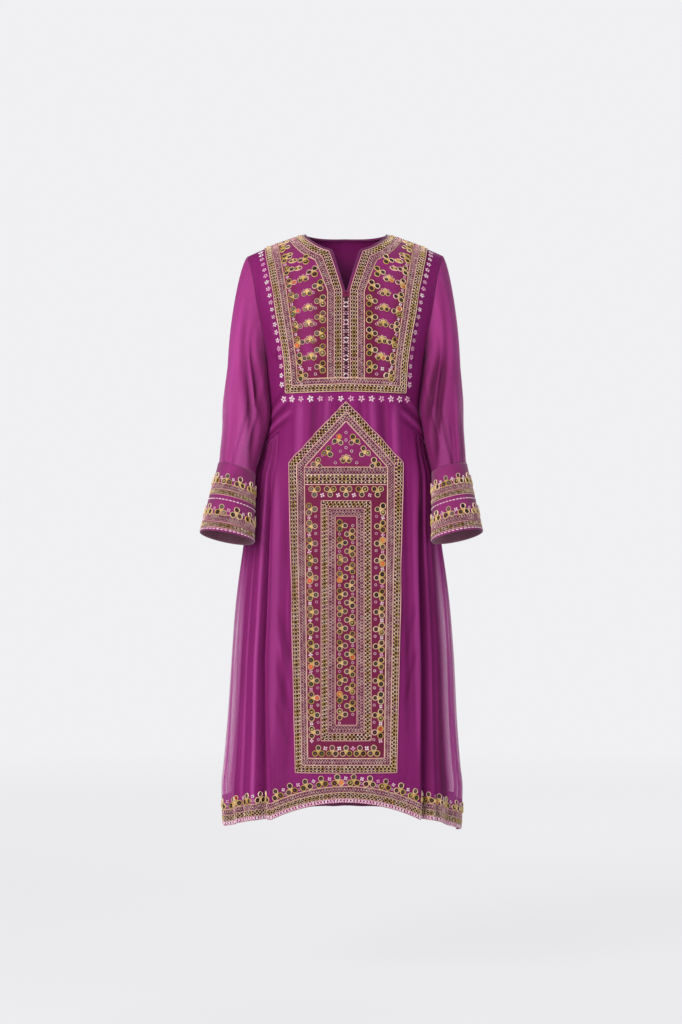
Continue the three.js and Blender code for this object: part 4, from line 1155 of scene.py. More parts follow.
def domeShape(name, segments, top, tall):
    bm = bmesh.new()
    bmesh.ops.create_cone(bm, cap_ends=True, segments=segments, radius1=0.5, radius2=0.5 * top,
                          depth=tall)
    bmesh.ops.translate(bm, verts=bm.verts, vec=(0, 0, tall / 2))
    keepOpen(name, bm)


def flowerShape(name, petals):
    bm = bmesh.new()
    for k in range(petals):
        made = bmesh.ops.create_cone(bm, cap_ends=True, segments=5, radius1=0.5, radius2=0.2,
                                     depth=0.1)["verts"]
        bmesh.ops.scale(bm, verts=made, vec=(0.46, 1.45 / petals, 1.0))
        bmesh.ops.translate(bm, verts=made, vec=(0.28, 0, 0.05))
        turn = 2 * math.pi * k / petals
        bmesh.ops.rotate(bm, verts=made, cent=(0, 0, 0), matrix=Matrix.Rotation(turn, 3, "Z"))
    bm.normal_update()
    keepOpen(name, bm)


def barShape(name, tall):
    bm = bmesh.new()
    made = bmesh.ops.create_cone(bm, cap_ends=True, segments=4, radius1=0.70711, radius2=0.4,
                                 depth=tall)["verts"]
    bmesh.ops.rotate(bm, verts=made, cent=(0, 0, 0), matrix=Matrix.Rotation(math.pi / 4, 3, "Z"))
    bmesh.ops.translate(bm, verts=made, vec=(0, 0, tall / 2))
    keepOpen(name, bm)


ringShape("ring", 12, 0.18, 1.3)
ringShape("loop", 8, 0.24, 1.2)
ringShape("eye", 8, 0.18, 1.2)
barShape("bar", 0.5)
domeShape("sequin", 8, 0.7, 0.12)
domeShape("bead", 6, 0.45, 0.5)
domeShape("stitch", 4, 0.5, 0.24)
flowerShape("flower", 5)
flowerShape("smallFlower", 4)


class Stitchwork:
    # everything that is worked on one piece of cloth, gathered into one mesh
    def __init__(self, cloth, lift):
        self.cloth, self.lift = cloth, lift
        self.points, self.faces, self.finishes, self.tones = [], [], [], []
        self.count = 0
        self.used = []

    def add(self, across, v, out, faces, materialName, tones):
        points = self.cloth.at(across, v, self.lift + out)
        if materialName not in self.used:
            self.used.append(materialName)
        self.points.append(points)
        self.faces.extend([[self.count + k for k in face] for face in faces])
        self.finishes.extend([self.used.index(materialName)] * len(faces))
        self.tones.append(tones)
        self.count += len(points)

    def stamp(self, shape, spots, size, materialName, tall=1.0, sizeUp=None, tone=(0.0, 1.0),
              raised=0.0):
        # spots: rows of across, v and turn
        spots = np.atleast_2d(np.asarray(spots, float))
        if spots.size == 0:
            return
        points, faces = stitchShapes[shape]
        size = np.broadcast_to(np.asarray(size, float), len(spots))
        up = size if sizeUp is None else np.broadcast_to(np.asarray(sizeUp, float), len(spots))
        x = points[None, :, 0] * size[:, None]
        y = points[None, :, 1] * up[:, None]
        cos, sin = np.cos(spots[:, 2])[:, None], np.sin(spots[:, 2])[:, None]
        across = spots[:, 0][:, None] + cos * x - sin * y
        v = spots[:, 1][:, None] + sin * x + cos * y
        out = raised + points[None, :, 2] * tall * np.minimum(size, up)[:, None]
        tones = np.repeat(chance.uniform(*tone, len(spots)), len(points))
        many = [[k * len(points) + i for i in face] for k in range(len(spots)) for face in faces]
        self.add(across.ravel(), v.ravel(), out.ravel(), many, materialName, tones)

    def strip(self, left, right, profile, materialName, tone=0.5):
        # a strip between two paths of equal length; profile: heights across it
        bm = bmesh.new()
        verts, shares = gridShares(bm, len(left) - 1, len(profile) - 1)
        bm.verts.index_update()
        faces = [[vert.index for vert in face.verts] for face in bm.faces]
        bm.free()
        row = np.round(shares[:, 0] * (len(left) - 1)).astype(int)
        flat = lerp(left[row], right[row], shares[:, 1][:, None])
        out = np.interp(shares[:, 1], np.linspace(0, 1, len(profile)), profile)
        tones = np.full(len(flat), tone)
        self.add(flat[:, 0], flat[:, 1], out, faces, materialName, tones)

    def line(self, path, wide, tall, materialName="line", tone=None):
        path = spaced(path, 4.0)[:, :2]
        step = np.gradient(path, axis=0)
        step /= np.maximum(np.linalg.norm(step, axis=1), 1e-9)[:, None]
        aside = np.stack([-step[:, 1], step[:, 0]], axis=1) * wide * 0.4
        mid = chance.uniform(0, 1) if tone is None else tone
        profile = [0, tall * 0.85, tall, tall * 0.85, 0]
        self.strip(path - aside, path + aside, profile, materialName, mid)

    def make(self, name):
        mesh = bpy.data.meshes.new(name)
        points = np.concatenate(self.points) * toMetres
        mesh.from_pydata(points.tolist(), [], self.faces)
        for materialName in self.used:
            mesh.materials.append(materials[materialName])
        mesh.polygons.foreach_set("material_index", np.array(self.finishes, np.int32))
        tone = mesh.attributes.new("tone", "FLOAT", "POINT")
        tone.data.foreach_set("value", np.concatenate(self.tones).astype(np.float32))
        mesh.update()
        print("  ", name, sum(len(face) - 2 for face in self.faces), "triangles")
        return linked(name, mesh)


def spaced(path, spacing, closed=False):
    # even places along a path, each with its direction: rows of across, v and turn
    path = np.asarray(path, float)
    steps = np.linalg.norm(np.diff(path, axis=0), axis=1)
    lengths = np.concatenate([[0], np.cumsum(steps)])
    count = max(int(round(lengths[-1] / spacing)), 1)
    at = np.linspace(0, lengths[-1], count + 1)
    if closed:
        at = at[:-1]
    a, v = np.interp(at, lengths, path[:, 0]), np.interp(at, lengths, path[:, 1])
    k = np.clip(np.searchsorted(lengths, at, side="right") - 1, 0, len(steps) - 1)
    run = path[k + 1] - path[k]
    return np.stack([a, v, np.arctan2(run[:, 1], run[:, 0])], axis=1)


def swing(count, lean, spread):
    # turns that lean one way and the other, a little unevenly
    return np.where(np.arange(count) % 2 == 0, lean, -lean) + chance.normal(0, spread, count)


goldChain = {"pitch": 7.6, "corner": 0.22, "ember": 0.06, "emberSize": 2.6}


def goldBand(work, low, high, closed=False):
    # a dark stitched ground under a chain of leaning loops, with beads in the corners between them
    low, high = np.asarray(low, float), np.asarray(high, float)
    work.strip(low, high, [0.0, 0.35, 0.35, 0.0], "darkFill")
    wide = np.linalg.norm(high - low, axis=1).mean()
    pitch = goldChain["pitch"]
    middle = lerp(low, high, 0.5)
    spots = spaced(middle, pitch, closed)
    spots[:, 2] += swing(len(spots), 0.6, 0.15)
    work.stamp("eye", spots, pitch * chance.uniform(0.94, 1.1, len(spots)), "cord",
               sizeUp=0.64 * wide, raised=0.2, tall=0.9)
    between = spaced(middle, pitch / 2, closed)[1::2]
    for share, tones in ((0.13, (0.6, 1.0)), (0.87, (0.3, 1.0))):
        corner = spaced(lerp(low, high, share), pitch / 2, closed)[1::2]
        work.stamp("bead", corner, goldChain["corner"] * wide, "cord", tone=tones, tall=0.7, raised=0.2)
    bright = chance.uniform(0, 1, len(between)) < goldChain["ember"]
    work.stamp("bead", between[bright], goldChain["emberSize"], "ember", tall=0.7, raised=0.3)


def pinkBand(work, low, high, closed=False):
    # a wine ground under rows of small leaning loops of pink thread, with dark eyes
    low, high = np.asarray(low, float), np.asarray(high, float)
    work.strip(low, high, [0.0, 0.3, 0.3, 0.0], "plumFill")
    wide = np.linalg.norm(high - low, axis=1).mean()
    rows = 2 if wide > 9 else 1
    tall = wide / rows
    pitch = min(max(tall * 0.9, 5.4), 6.8)
    for row in range(rows):
        spots = shifted(spaced(lerp(low, high, (row + 0.5) / rows), pitch, closed), pitch / 2 * row)
        spots = spots[: len(spots) - row]
        spots[:, 2] += swing(len(spots), 0.5, 0.08)
        work.stamp("eye", spots, pitch * 1.06, "pinkThread", sizeUp=tall * 0.94, raised=0.2, tall=0.8)
    if rows == 2:
        beads = spaced(lerp(low, high, 0.5), pitch, closed)
        work.stamp("bead", beads, 1.9, "pinkThread", tall=0.6, tone=(0.4, 1.0), raised=0.3)


def runningStitch(work, path, length, gap, wide, materialName="pinkThread", closed=False):
    spots = spaced(path, length + gap, closed)
    work.stamp("bar", spots, length, materialName, sizeUp=wide, tall=1.2, tone=(0.4, 1.0))


def ringSet(work, spots, size, emberShare=0.05, tones=(0.0, 0.6)):
    # couched rings with a sequin inside; a few have a bright sequin
    spots = np.atleast_2d(np.asarray(spots, float))
    if len(spots) == 0:
        return
    sizes = size * chance.uniform(0.92, 1.06, len(spots))
    bright = chance.uniform(0, 1, len(spots)) < emberShare
    work.stamp("ring", spots, sizes, "cord", tone=tones, raised=0.3)
    work.stamp("sequin", spots[~bright], sizes[~bright] * 0.72, "sequin", raised=0.5)
    # a pale bead holds each dark sequin, and its paleness also stands as a painted highlight on the sequin
    work.stamp("bead", spots[~bright], 1.7, "pinkThread", tall=0.8, tone=(0.0, 0.7), raised=1.1)
    if bright.any():
        work.stamp("sequin", spots[bright], sizes[bright] * 0.66, "ember", raised=0.5)


def bandRun(work, lane, plan, closed=False):
    # lines and bands side by side. A line's row: place, width, height. A band's: its two edges.
    for kind, *places in plan:
        if kind == "line":
            at, wide, tall = places
            work.line(lane(at), wide, tall)
        else:
            low, high = places
            {"gold": goldBand, "pink": pinkBand}[kind](work, lane(low), lane(high), closed)


def shifted(spots, ahead, aside=0.0):
    # spots moved along and beside their own turns
    spots = spots.copy()
    cos, sin = np.cos(spots[:, 2]), np.sin(spots[:, 2])
    spots[:, 0] += ahead * cos - aside * sin
    spots[:, 1] += ahead * sin + aside * cos
    return spots


def placed(spots, moves):
    # each move, along and beside a spot's turn, at every spot
    return [(a + x * math.cos(turn) - y * math.sin(turn), v + x * math.sin(turn) + y * math.cos(turn),
             turn + chance.uniform(-0.3, 0.3)) for a, v, turn in np.atleast_2d(spots) for x, y in moves]


def trefoils(work, spots, size=13.6, emberShare=0.05):
    # three rings on a patch of gold stitches, in a triangle that points along each spot's turn
    work.stamp("sequin", placed(spots, [(size * 0.3, 0)]), size * 0.8, "cord", tone=(0.0, 0.3), tall=0.4)
    ringSet(work, placed(spots, [(0, size * 0.5), (0, -size * 0.5)]), size, emberShare)
    ringSet(work, placed(spots, [(size * 0.86, 0)]), size * 0.93, emberShare, (0.5, 1.0))
    filled = [spot for spot in np.atleast_2d(spots) if chance.uniform() < 0.3]
    if filled:
        within = [(-0.5, size * 0.5), (1.8, size * 0.5), (0.6, size * 0.36)]
        work.stamp("bead", placed(filled, within), 3.4, "cord", tone=(0.0, 0.3), tall=0.8, raised=1.0)
    between = [(size * 0.3, 0), (size * 0.44, 3), (size * 0.44, -3)]
    work.stamp("bead", placed(spots, between), 2.6, "cord", tall=0.9, tone=(0.0, 0.5), raised=0.6)


def ovals(work, spots, wide=23.0):
    # an oval of cord round two rings, filled with gold beads
    work.stamp("sequin", spots, wide * 0.92, "cord", sizeUp=wide * 0.5, tone=(0.0, 0.3), tall=0.35)
    work.stamp("ring", spots, wide, "cord", sizeUp=wide * 0.6, tone=(0.5, 1.0), tall=0.8)
    ringSet(work, placed(spots, [(-4.6, 0), (4.6, 0)]), 8.2, 0.1)
    work.stamp("bead", placed(spots, [(0, 3), (0, -3), (-9, 0), (9, 0)]), 2.6, "cord", tone=(0.0, 0.5),
               tall=0.8, raised=0.6)


def sprigs(work, spots, size=12.6):
    # five small loops fanned over a pair of rings, on gold stitches
    work.stamp("sequin", placed(spots, [(4, 0)]), size * 1.2, "cord", tone=(0.0, 0.35), tall=0.35)
    ringSet(work, placed(spots, [(0, size * 0.52), (0, -size * 0.52)]), size)
    lean = np.linspace(-1.25, 1.25, 5)
    reach = [(size * 0.95 * math.cos(a), size * 0.95 * math.sin(a)) for a in lean]
    work.stamp("loop", placed(spots, reach), 5.8, "cord", tone=(0.6, 1.0), raised=0.2)
    inner = [(size * 0.5 * math.cos(a) + 1, size * 0.5 * math.sin(a)) for a in lean]
    work.stamp("bead", placed(spots, inner), 2.8, "cord", tone=(0.0, 0.4), tall=0.8, raised=0.5)


def flowers(work, spots, size, materialName="flowerThread", shape="flower"):
    spots = np.atleast_2d(np.asarray(spots, float)).copy()
    spots[:, 2] += chance.uniform(0, 1.2, len(spots))
    sizes = size * chance.uniform(0.9, 1.1, len(spots))
    work.stamp(shape, spots, sizes, materialName, tall=1.3)
    work.stamp("bead", spots, 2.0, "sequin", tall=0.7, tone=(0.1, 0.6), raised=0.8)


def smallRings(work, spots, size=6.5):
    work.stamp("loop", spots, size, "flowerThread", tone=(0.0, 0.7))
    work.stamp("bead", spots, 2.2, "sequin", tall=0.6, tone=(0.1, 0.7))


print("embroidery of the yoke")
# places inwards from the yoke's edge, and outwards from the neck
yokeBands = [("line", 1.4, 2.4, 1.3), ("gold", 15.2, 3.2), ("line", 16.4, 2.2, 1.2),
             ("pink", 28.4, 17.8), ("line", 29.8, 2.4, 1.3)]
neckBands = [("line", 6.8, 2.2, 1.2), ("gold", 8.2, 20.0), ("line", 21.3, 2.2, 1.2),
             ("pink", 22.6, 33.0), ("line", 34.4, 2.4, 1.3)]
# the strip under the slit: half width, and v of its first and last motifs
strip = {"half": 7.0, "above": 14, "diamonds": (-212, -352), "rings": (-229, -335), "step": 34,
         "stitches": (-200, -356), "stitchAside": 4.5, "diamond": (3.4, 5.2)}


def neckLane(outward, sign):
    # from the shoulder seam round the neck, down beside the slit and on to the bottom bands
    wide, drop = form["neckHalf"] + outward, form["neckDrop"]["front"] + outward
    slit = form["slitHalf"] + outward
    end = math.acos(slit / wide)
    turns = np.linspace(0.01, end, 26)
    bend = pairs(wide * np.cos(turns), -drop * np.sin(turns))
    bottom = -(yoke["bottom"] - yoke["foot"])
    tip = np.array([form["slitTipHalf"] + outward, -form["slitTip"]])
    down = [lerp(bend[-1], tip, share) for share in np.linspace(0, 1, 14)[1:]]
    low = [np.array([tip[0], lerp(tip[1], bottom, share)]) for share in np.linspace(0, 1, 24)[1:]]
    return np.concatenate([bend, down, low]) * np.array([sign, 1])


def yokeLane(inward):
    # down one side, across the bottom and up the other side
    foot = yoke["bottom"] - inward * yoke["foot"] / yoke["frame"]
    downs = np.linspace(2, foot, 60)
    half = yokeHalf(downs) - inward
    left = pairs(-half, -downs)
    across = np.linspace(-half[-1], half[-1], 40)[1:-1]
    sag = yoke["arch"] * (1 - np.abs(across) / half[-1])
    return np.concatenate([left, pairs(across, sag - foot), left[::-1] * np.array([-1, 1])])


yokeWork = Stitchwork(cloths["front"], surfaceLift)
bandRun(yokeWork, yokeLane, yokeBands)
for sign in (1, -1):
    bandRun(yokeWork, lambda outward: neckLane(outward, sign), neckBands)
# the strip down the middle, with its diamonds
stripV = np.linspace(-(form["slitTip"] + strip["above"]), -(yoke["bottom"] - yoke["foot"]), 24)
yokeWork.strip(pairs(strip["half"], stripV), pairs(-strip["half"], stripV), [0.0, 0.3, 0.3, 0.0],
               "plumFill")
diamonds = spaced(pairs(0, strip["diamonds"]), strip["step"])
for quarter in range(4):
    angle = math.pi / 4 + quarter * math.pi / 2
    reach = diamonds.copy()
    reach[:, 0] += strip["diamond"][0] * math.cos(angle)
    reach[:, 1] += strip["diamond"][1] * math.sin(angle)
    reach[:, 2] = angle + math.pi / 2
    yokeWork.stamp("stitch", reach, 8.6, "flowerThread", sizeUp=3.2, tall=1.8)
smallRings(yokeWork, spaced(pairs(0, strip["rings"]), strip["step"]), 7.5)
yokeWork.stamp("bead", diamonds, 3.0, "sequin", tall=0.8)
for x in (-strip["stitchAside"], strip["stitchAside"]):
    runningStitch(yokeWork, pairs(x, strip["stitches"]), 3.4, 1.8, 2.4)


def yokeField(sign):
    towardsMiddle, away = (math.pi, 0.0) if sign > 0 else (0.0, math.pi)
    for down in np.arange(52, 352, yoke["motifStep"]):
        outer = yokeHalf(down) - yoke["frame"]
        gap = outer - max(36.0, neckHalfAt(down))
        if gap > 20:
            trefoils(yokeWork, [(sign * (outer - 7.5), -down, towardsMiddle)], 12.6, 0.08)
        if gap > 34:
            halfway = down + yoke["motifStep"] / 2
            flowers(yokeWork, [(sign * (outer - 9), -halfway, 0)], 7.5, shape="smallFlower")
    for down in np.arange(102, 352, yoke["motifStep"]):
        outer = yokeHalf(down) - yoke["frame"]
        inner = max(36.0, neckHalfAt(down))
        if outer - inner > 50:
            trefoils(yokeWork, [(sign * (inner + 7.5), -down, away)], 13.2, 0.05)
            smallRings(yokeWork, [(sign * (inner + 22), -(down + 14), 0)], 6.5)
    for down in (78, 98, 120):
        centre = (yokeHalf(down) - yoke["frame"] + neckHalfAt(down)) / 2
        ovals(yokeWork, [(sign * (centre + 3), -down, 0)], 19.0)
    for down in (147, 180, 213, 246, 280, 314):
        centre = (yokeHalf(down) - yoke["frame"] + max(36.0, neckHalfAt(down))) / 2
        sprigs(yokeWork, [(sign * (centre - 1), -(down + 3), math.pi / 2)], 10.4)
    flowers(yokeWork, [(sign * 72, -338, 0), (sign * 88, -340, 0)], 8.0, shape="smallFlower")


def neckHalfAt(down):
    lane = neckLane(36.5, 1)
    order = np.argsort(-lane[:, 1], kind="stable")
    return float(np.interp(down, -lane[order, 1], lane[order, 0]))


for sign in (1, -1):
    yokeField(sign)
    trefoils(yokeWork, [(sign * 127, -24, -math.pi / 2)], 12.5, 0.6)
yokePiece = yokeWork.make("yokeEmbroidery")

flowerWork = Stitchwork(cloths["front"], walls["cloth"])
below = [(across, -(yoke["bottom"] + 11), 0) for across in np.linspace(-132, 132, 14)]
flowers(flowerWork, below, 13.5)
for sign in (1, -1):
    edge = [(sign * (yokeHalf(down) + 9.0), -down, 0) for down in np.arange(22, 380, 18.2)]
    flowers(flowerWork, edge, 12.0)
flowerPiece = flowerWork.make("yokeEdgeFlowers")

print("embroidery of the pocket panel")
# places as shares of each frame's width, from its outer edge
pocketBands = [("line", 0.035, 2.4, 1.3), ("gold", 0.49, 0.09), ("line", 0.53, 2.2, 1.2),
               ("pink", 0.93, 0.57), ("line", 0.98, 2.6, 1.4)]
insetBands = [("line", 0.03, 2.2, 1.2), ("gold", 0.45, 0.07), ("line", 0.49, 2.0, 1.1),
              ("pink", 0.92, 0.53), ("line", 0.97, 2.2, 1.2)]


def cornerLane(corners, counts):
    # straight runs between corners, each of so many steps; corners: across and down
    corners = np.array(corners, float)
    path = [lerp(start, end, k / count) for start, end, count in zip(corners, corners[1:], counts)
            for k in range(count)]
    return np.array(path + [corners[-1]]) * np.array([1, -1])


def pocketLane(share):
    # round the whole frame, from the middle of the foot
    outer, inner = np.array(pocket["outer"], float), np.array(pocket["inner"], float)
    (_, apex), (wide, shoulder), (narrow, foot) = lerp(outer, inner, share)
    return cornerLane([(0, foot), (-narrow, foot), (-wide, shoulder), (0, apex), (wide, shoulder),
                       (narrow, foot), (0, foot)], (12, 70, 22, 22, 70, 12))


def insetLane(share):
    reach = pocket["insetFrame"] * share
    half = pocket["insetHalf"] - reach
    top, bottom = pocket["insetTop"] + reach * 1.1, pocket["insetBottom"] - reach * 1.1
    return cornerLane([(0, bottom), (-half, bottom), (-half, top), (half, top), (half, bottom),
                       (0, bottom)], (8, 60, 12, 60, 8))


def closingLane(down):
    return pairs(np.linspace(-80, 80, 40), -down)


pocketWork = Stitchwork(cloths["front"], surfaceLift)
bandRun(pocketWork, pocketLane, pocketBands)
# bands that close the triangle
upper, middle, lower = pocket["closing"]
bandRun(pocketWork, closingLane, [
    ("line", upper, 2.2, 1.2), ("pink", middle - 1, upper), ("line", middle, 2.2, 1.2),
    ("gold", lower - 2, middle), ("line", lower, 2.6, 1.4)])
bandRun(pocketWork, insetLane, insetBands)
# motif columns at the sides, pointing in, with small flowers between
pocketStep = pocket["motifStep"]
for sign in (1, -1):
    inwards = math.pi if sign > 0 else 0.0
    for down in np.arange(616, 1062, pocketStep):
        edge = pocketHalf(1, down)
        trefoils(pocketWork, [(sign * (edge - 8), -down, inwards)], 13.2)
        flowers(pocketWork, [(sign * (edge - 8), -(down + pocketStep / 2), 0)], 8.5, shape="smallFlower")
        smallRings(pocketWork, [(sign * (edge - 21), -(down + 14), 0)], 6.0)
# the centre column: two rows that point at each other, half a step apart
for down in np.arange(648, 1030, pocketStep):
    between = down + pocketStep / 2
    trefoils(pocketWork, [(-12.5, -down, 0.0)], 12.4)
    if between < 1030:
        trefoils(pocketWork, [(12.5, -between, math.pi)], 12.4)
    smallRings(pocketWork, [(13.0, -down, 0)], 6.0)
    smallRings(pocketWork, [(-13.0, -between, 0)], 6.0)
# rows above and below the inset frame, with small flowers between their motifs
for reach, down, flowerDown, turn in ((62, 576, 588, -math.pi / 2), (54, 1094, 1084, math.pi / 2)):
    for across in np.linspace(-reach, reach, 5):
        trefoils(pocketWork, [(across, -down, turn)], 12.8)
    for across in np.linspace(-0.75 * reach, 0.75 * reach, 4):
        flowers(pocketWork, [(across, -flowerDown, 0)], 9.5, shape="smallFlower")
# the triangle: rings in rows that shorten towards the apex
(_, apex), (wide, shoulder) = pocket["inner"][:2]
for sign, turn in ((1, -0.75 * math.pi), (-1, -0.25 * math.pi)):
    for down in (474, 497, 520):
        line = (down - apex) * wide / (shoulder - apex)
        trefoils(pocketWork, [(sign * (line - 11), -(down + 3), turn)], 12.4, 0.1)
        smallRings(pocketWork, [(sign * (line - 3), -(down + 12), 0)], 5.5)
sprigs(pocketWork, [(0, -520, math.pi / 2)], 11.0)
for across, down in ((-21, 524), (21, 524), (0, 494), (0, 479), (-11, 501), (11, 501), (0, 464)):
    smallRings(pocketWork, [(across, -down, 0)], 6.5)
pocketPiece = pocketWork.make("pocketEmbroidery")

print("embroidery of the hem")
# heights above the hem
hem = {
    "running": 1.6, "zigzag": 5.0, "motif": 39.0, "pitch": 32.0,
    "bands": [("line", 9.0, 2.0, 1.1), ("gold", 9.6, 19.4), ("line", 20.2, 2.0, 1.1),
              ("pink", 21.0, 31.2), ("line", 32.2, 2.4, 1.3)],
}


def hemBands(work, lane):
    runningStitch(work, lane(hem["running"]), 3.2, 1.6, 1.6)
    for lean in (0.9, -0.9):
        spots = spaced(lane(hem["zigzag"]), 6.4)
        spots[:, 2] += lean
        work.stamp("bar", spots, 6.8, "flowerThread", sizeUp=1.8, tall=1.2)
    bandRun(work, lane, hem["bands"])
    spots = spaced(lane(hem["motif"]), hem["pitch"])
    motifs = shifted(spots[:-1], np.linalg.norm(spots[1, :2] - spots[0, :2]) / 2)
    motifs[:, 2] += math.pi / 2
    trefoils(work, motifs, 13.2)
    flowers(work, shifted(spots[1:-1], 0, 9), 8.5, shape="smallFlower")
    spots[:, 0] += 2 * np.sin(spots[:, 2])
    smallRings(work, spots[1:-1], 5.5)


hemPieces = []
for name, side in sides.items():
    low, high = sorted(handSign(side, hand) * hemReach(side, hand) for hand in hands)

    def lane(height, side=side, low=low, high=high):
        across = np.linspace(low + 0.5, high - 0.5, 90)
        return pairs(across, height - hemDown(side, across))
    work = Stitchwork(cloths[name], walls["cloth"])
    hemBands(work, lane)
    hemPieces.append(work.make("hemEmbroidery" + name.capitalize()))
for hand in hands:
    cloth = cloths["gore" + hand]

    def lane(height, cloth=cloth):
        across = np.linspace(cloth.across[0] + 0.5, cloth.across[-1] - 0.5, 240)
        return pairs(across, cloth.v[-1] + height)
    work = Stitchwork(cloth, walls["cloth"])
    hemBands(work, lane)
    hemPieces.append(work.make("hemEmbroidery" + hand.capitalize()))

print("embroidery of the cuffs")
# places as shares of the cuff's height, from its top
cuffPlan = {
    "rows": (0.275, 0.73), "running": (0.535, 0.972), "pitch": 31.0,
    "bands": [("line", share, 1.9, 1.0) for share in (0.305, 0.39, 0.47, 0.755, 0.865, 0.95)]
    + [("pink", 0.382, 0.315), ("pink", 0.855, 0.765), ("gold", 0.462, 0.398), ("gold", 0.942, 0.875)],
}
cuffPieces = []
for hand in hands:
    cloth = cloths["cuff" + hand]

    def lane(share, cloth=cloth):
        ends = (0, cloth.round) if cloth.sign > 0 else (-cloth.round, 0)
        return pairs(np.linspace(*ends, 150), cloth.v[-1] * share)
    work = Stitchwork(cloth, walls["cuff"] / 2)
    bandRun(work, lane, cuffPlan["bands"], True)
    for share in cuffPlan["running"]:
        runningStitch(work, lane(share), 5.2, 2.8, 2.1, "flowerThread", closed=True)
    for share in cuffPlan["rows"]:
        spots = spaced(lane(share), cuffPlan["pitch"], True)
        up = spots.copy()
        up[:, 2] += math.pi / 2
        trefoils(work, up, 13.4)
        between = spots.copy()
        between[:, 0] += cuffPlan["pitch"] / 2
        between[:, 1] += 7
        flowers(work, between, 8.5, shape="smallFlower")
    cuffPieces.append(work.make("cuffEmbroidery" + hand.capitalize()))

print("band at the back of the neck, and the seams")


def backNeckCurve(outward, turns):
    return pairs((form["neckHalf"] + outward) * np.cos(turns),
                 -(form["neckDrop"]["back"] + outward) * np.sin(turns))


def backNeckLane(outward):
    return backNeckCurve(outward, np.linspace(0.02, math.pi - 0.02, 70))


backWork = Stitchwork(cloths["back"], walls["cloth"])
bandRun(backWork, backNeckLane, [("line", outward, 2.2, 1.2) for outward in (6.8, 21.3, 34.4)]
        + [("gold", 8.2, 20.0), ("pink", 22.6, 33.0)])
flowers(backWork, spaced(backNeckLane(45), 19.0), 12.0)
backNeckPiece = backWork.make("backNeckEmbroidery")

seam = {"fromEdge": 3.2, "long": 2.8, "gap": 1.4, "wide": 0.9}
seamPieces = []
for name, side in sides.items():
    work = Stitchwork(cloths[name], walls["cloth"])
    for hand in hands:
        sign = handSign(side, hand)
        share = np.linspace(0, 1, 40)
        level = lerp(form["goreTopEdge"], form["goreTopSide"], share)
        tuck = pairs(sign * goreAcross(side, hand, share, level), seam["fromEdge"] - downAt(side, level))
        down = np.linspace(8, downAt(side, form["goreTopSide"]) - 6, 90)
        edge = edgeLength(side, down, hand) - seam["fromEdge"]
        for path in (tuck, pairs(sign * edge, -down)):
            runningStitch(work, path, seam["long"], seam["gap"], seam["wide"], "seamThread")
    low, high = sorted(handSign(side, hand) * hemReach(side, hand) for hand in hands)
    across = np.linspace(low + 2, high - 2, 80)
    top = pairs(across, form["facingHeight"] - 2 - hemDown(side, across))
    runningStitch(work, top, seam["long"], seam["gap"], seam["wide"], "seamThread")
    seamPieces.append(work.make(name + "SeamStitches"))

print("neck binding")


def bindingPiece():
    # a round piping swept along the neck line and the slit
    stations = []
    outward = radius = form["bindingRadius"]
    for name in ("front", "back"):
        cloth = cloths[name]
        if name == "front":
            half = neckLane(outward, 1)
            half = half[-half[:, 1] <= form["slitTip"] - 1]
            tip = np.array([[form["slitTipHalf"] + outward * 0.7, -form["slitTip"] - outward * 0.7],
                            [0, -form["slitTip"] - outward]])
            half = np.concatenate([half, tip])
        else:
            turns = np.linspace(0.01, math.pi / 2, 26)
            half = backNeckCurve(outward, turns)
        path = spaced(np.concatenate([half * np.array([-1, 1]), half[::-1][1:]]), 3.0)
        aside = pairs(np.sin(path[:, 2]), -np.cos(path[:, 2]))
        middle = cloth.at(path[:, 0], path[:, 1], walls["cloth"] / 2)
        away = cloth.at(path[:, 0] + aside[:, 0], path[:, 1] + aside[:, 1], walls["cloth"] / 2) - middle
        out = cloth.at(path[:, 0], path[:, 1], walls["cloth"] / 2 + 1) - middle
        away /= np.linalg.norm(away, axis=1)[:, None]
        out /= np.linalg.norm(out, axis=1)[:, None]
        stations.append((middle[:-1], away[:-1], out[:-1]))
    middle, away, out = (np.concatenate(column) for column in zip(*stations))
    sidesRound = 10
    bm = bmesh.new()
    verts, shares = gridShares(bm, len(middle), sidesRound)
    station = np.round(shares[:, 0] * len(middle)).astype(int) % len(middle)
    turn = 2 * np.pi * shares[:, 1]
    points = (middle[station] + away[station] * (radius * np.cos(turn))[:, None]
              + out[station] * (radius * np.sin(turn))[:, None]) * toMetres
    uv = bm.loops.layers.uv.new(clothUv)
    for vert, point in zip(verts, points):
        vert.co = point
    bm.verts.index_update()
    places = dict(zip([vert.index for vert in verts], shares))
    for face in bm.faces:
        face.smooth = True
        for loop in face.loops:
            share = places[loop.vert.index]
            loop[uv].uv = (share[0] * 0.7, share[1] * 0.015)
    bmesh.ops.remove_doubles(bm, verts=bm.verts, dist=0.00005)
    bmesh.ops.recalc_face_normals(bm, faces=bm.faces)
    mesh = bpy.data.meshes.new("neckBinding")
    bm.to_mesh(mesh)
    bm.free()
    mesh.materials.append(materials["binding"])
    return linked("neckBinding", mesh)


bindingObject = bindingPiece()

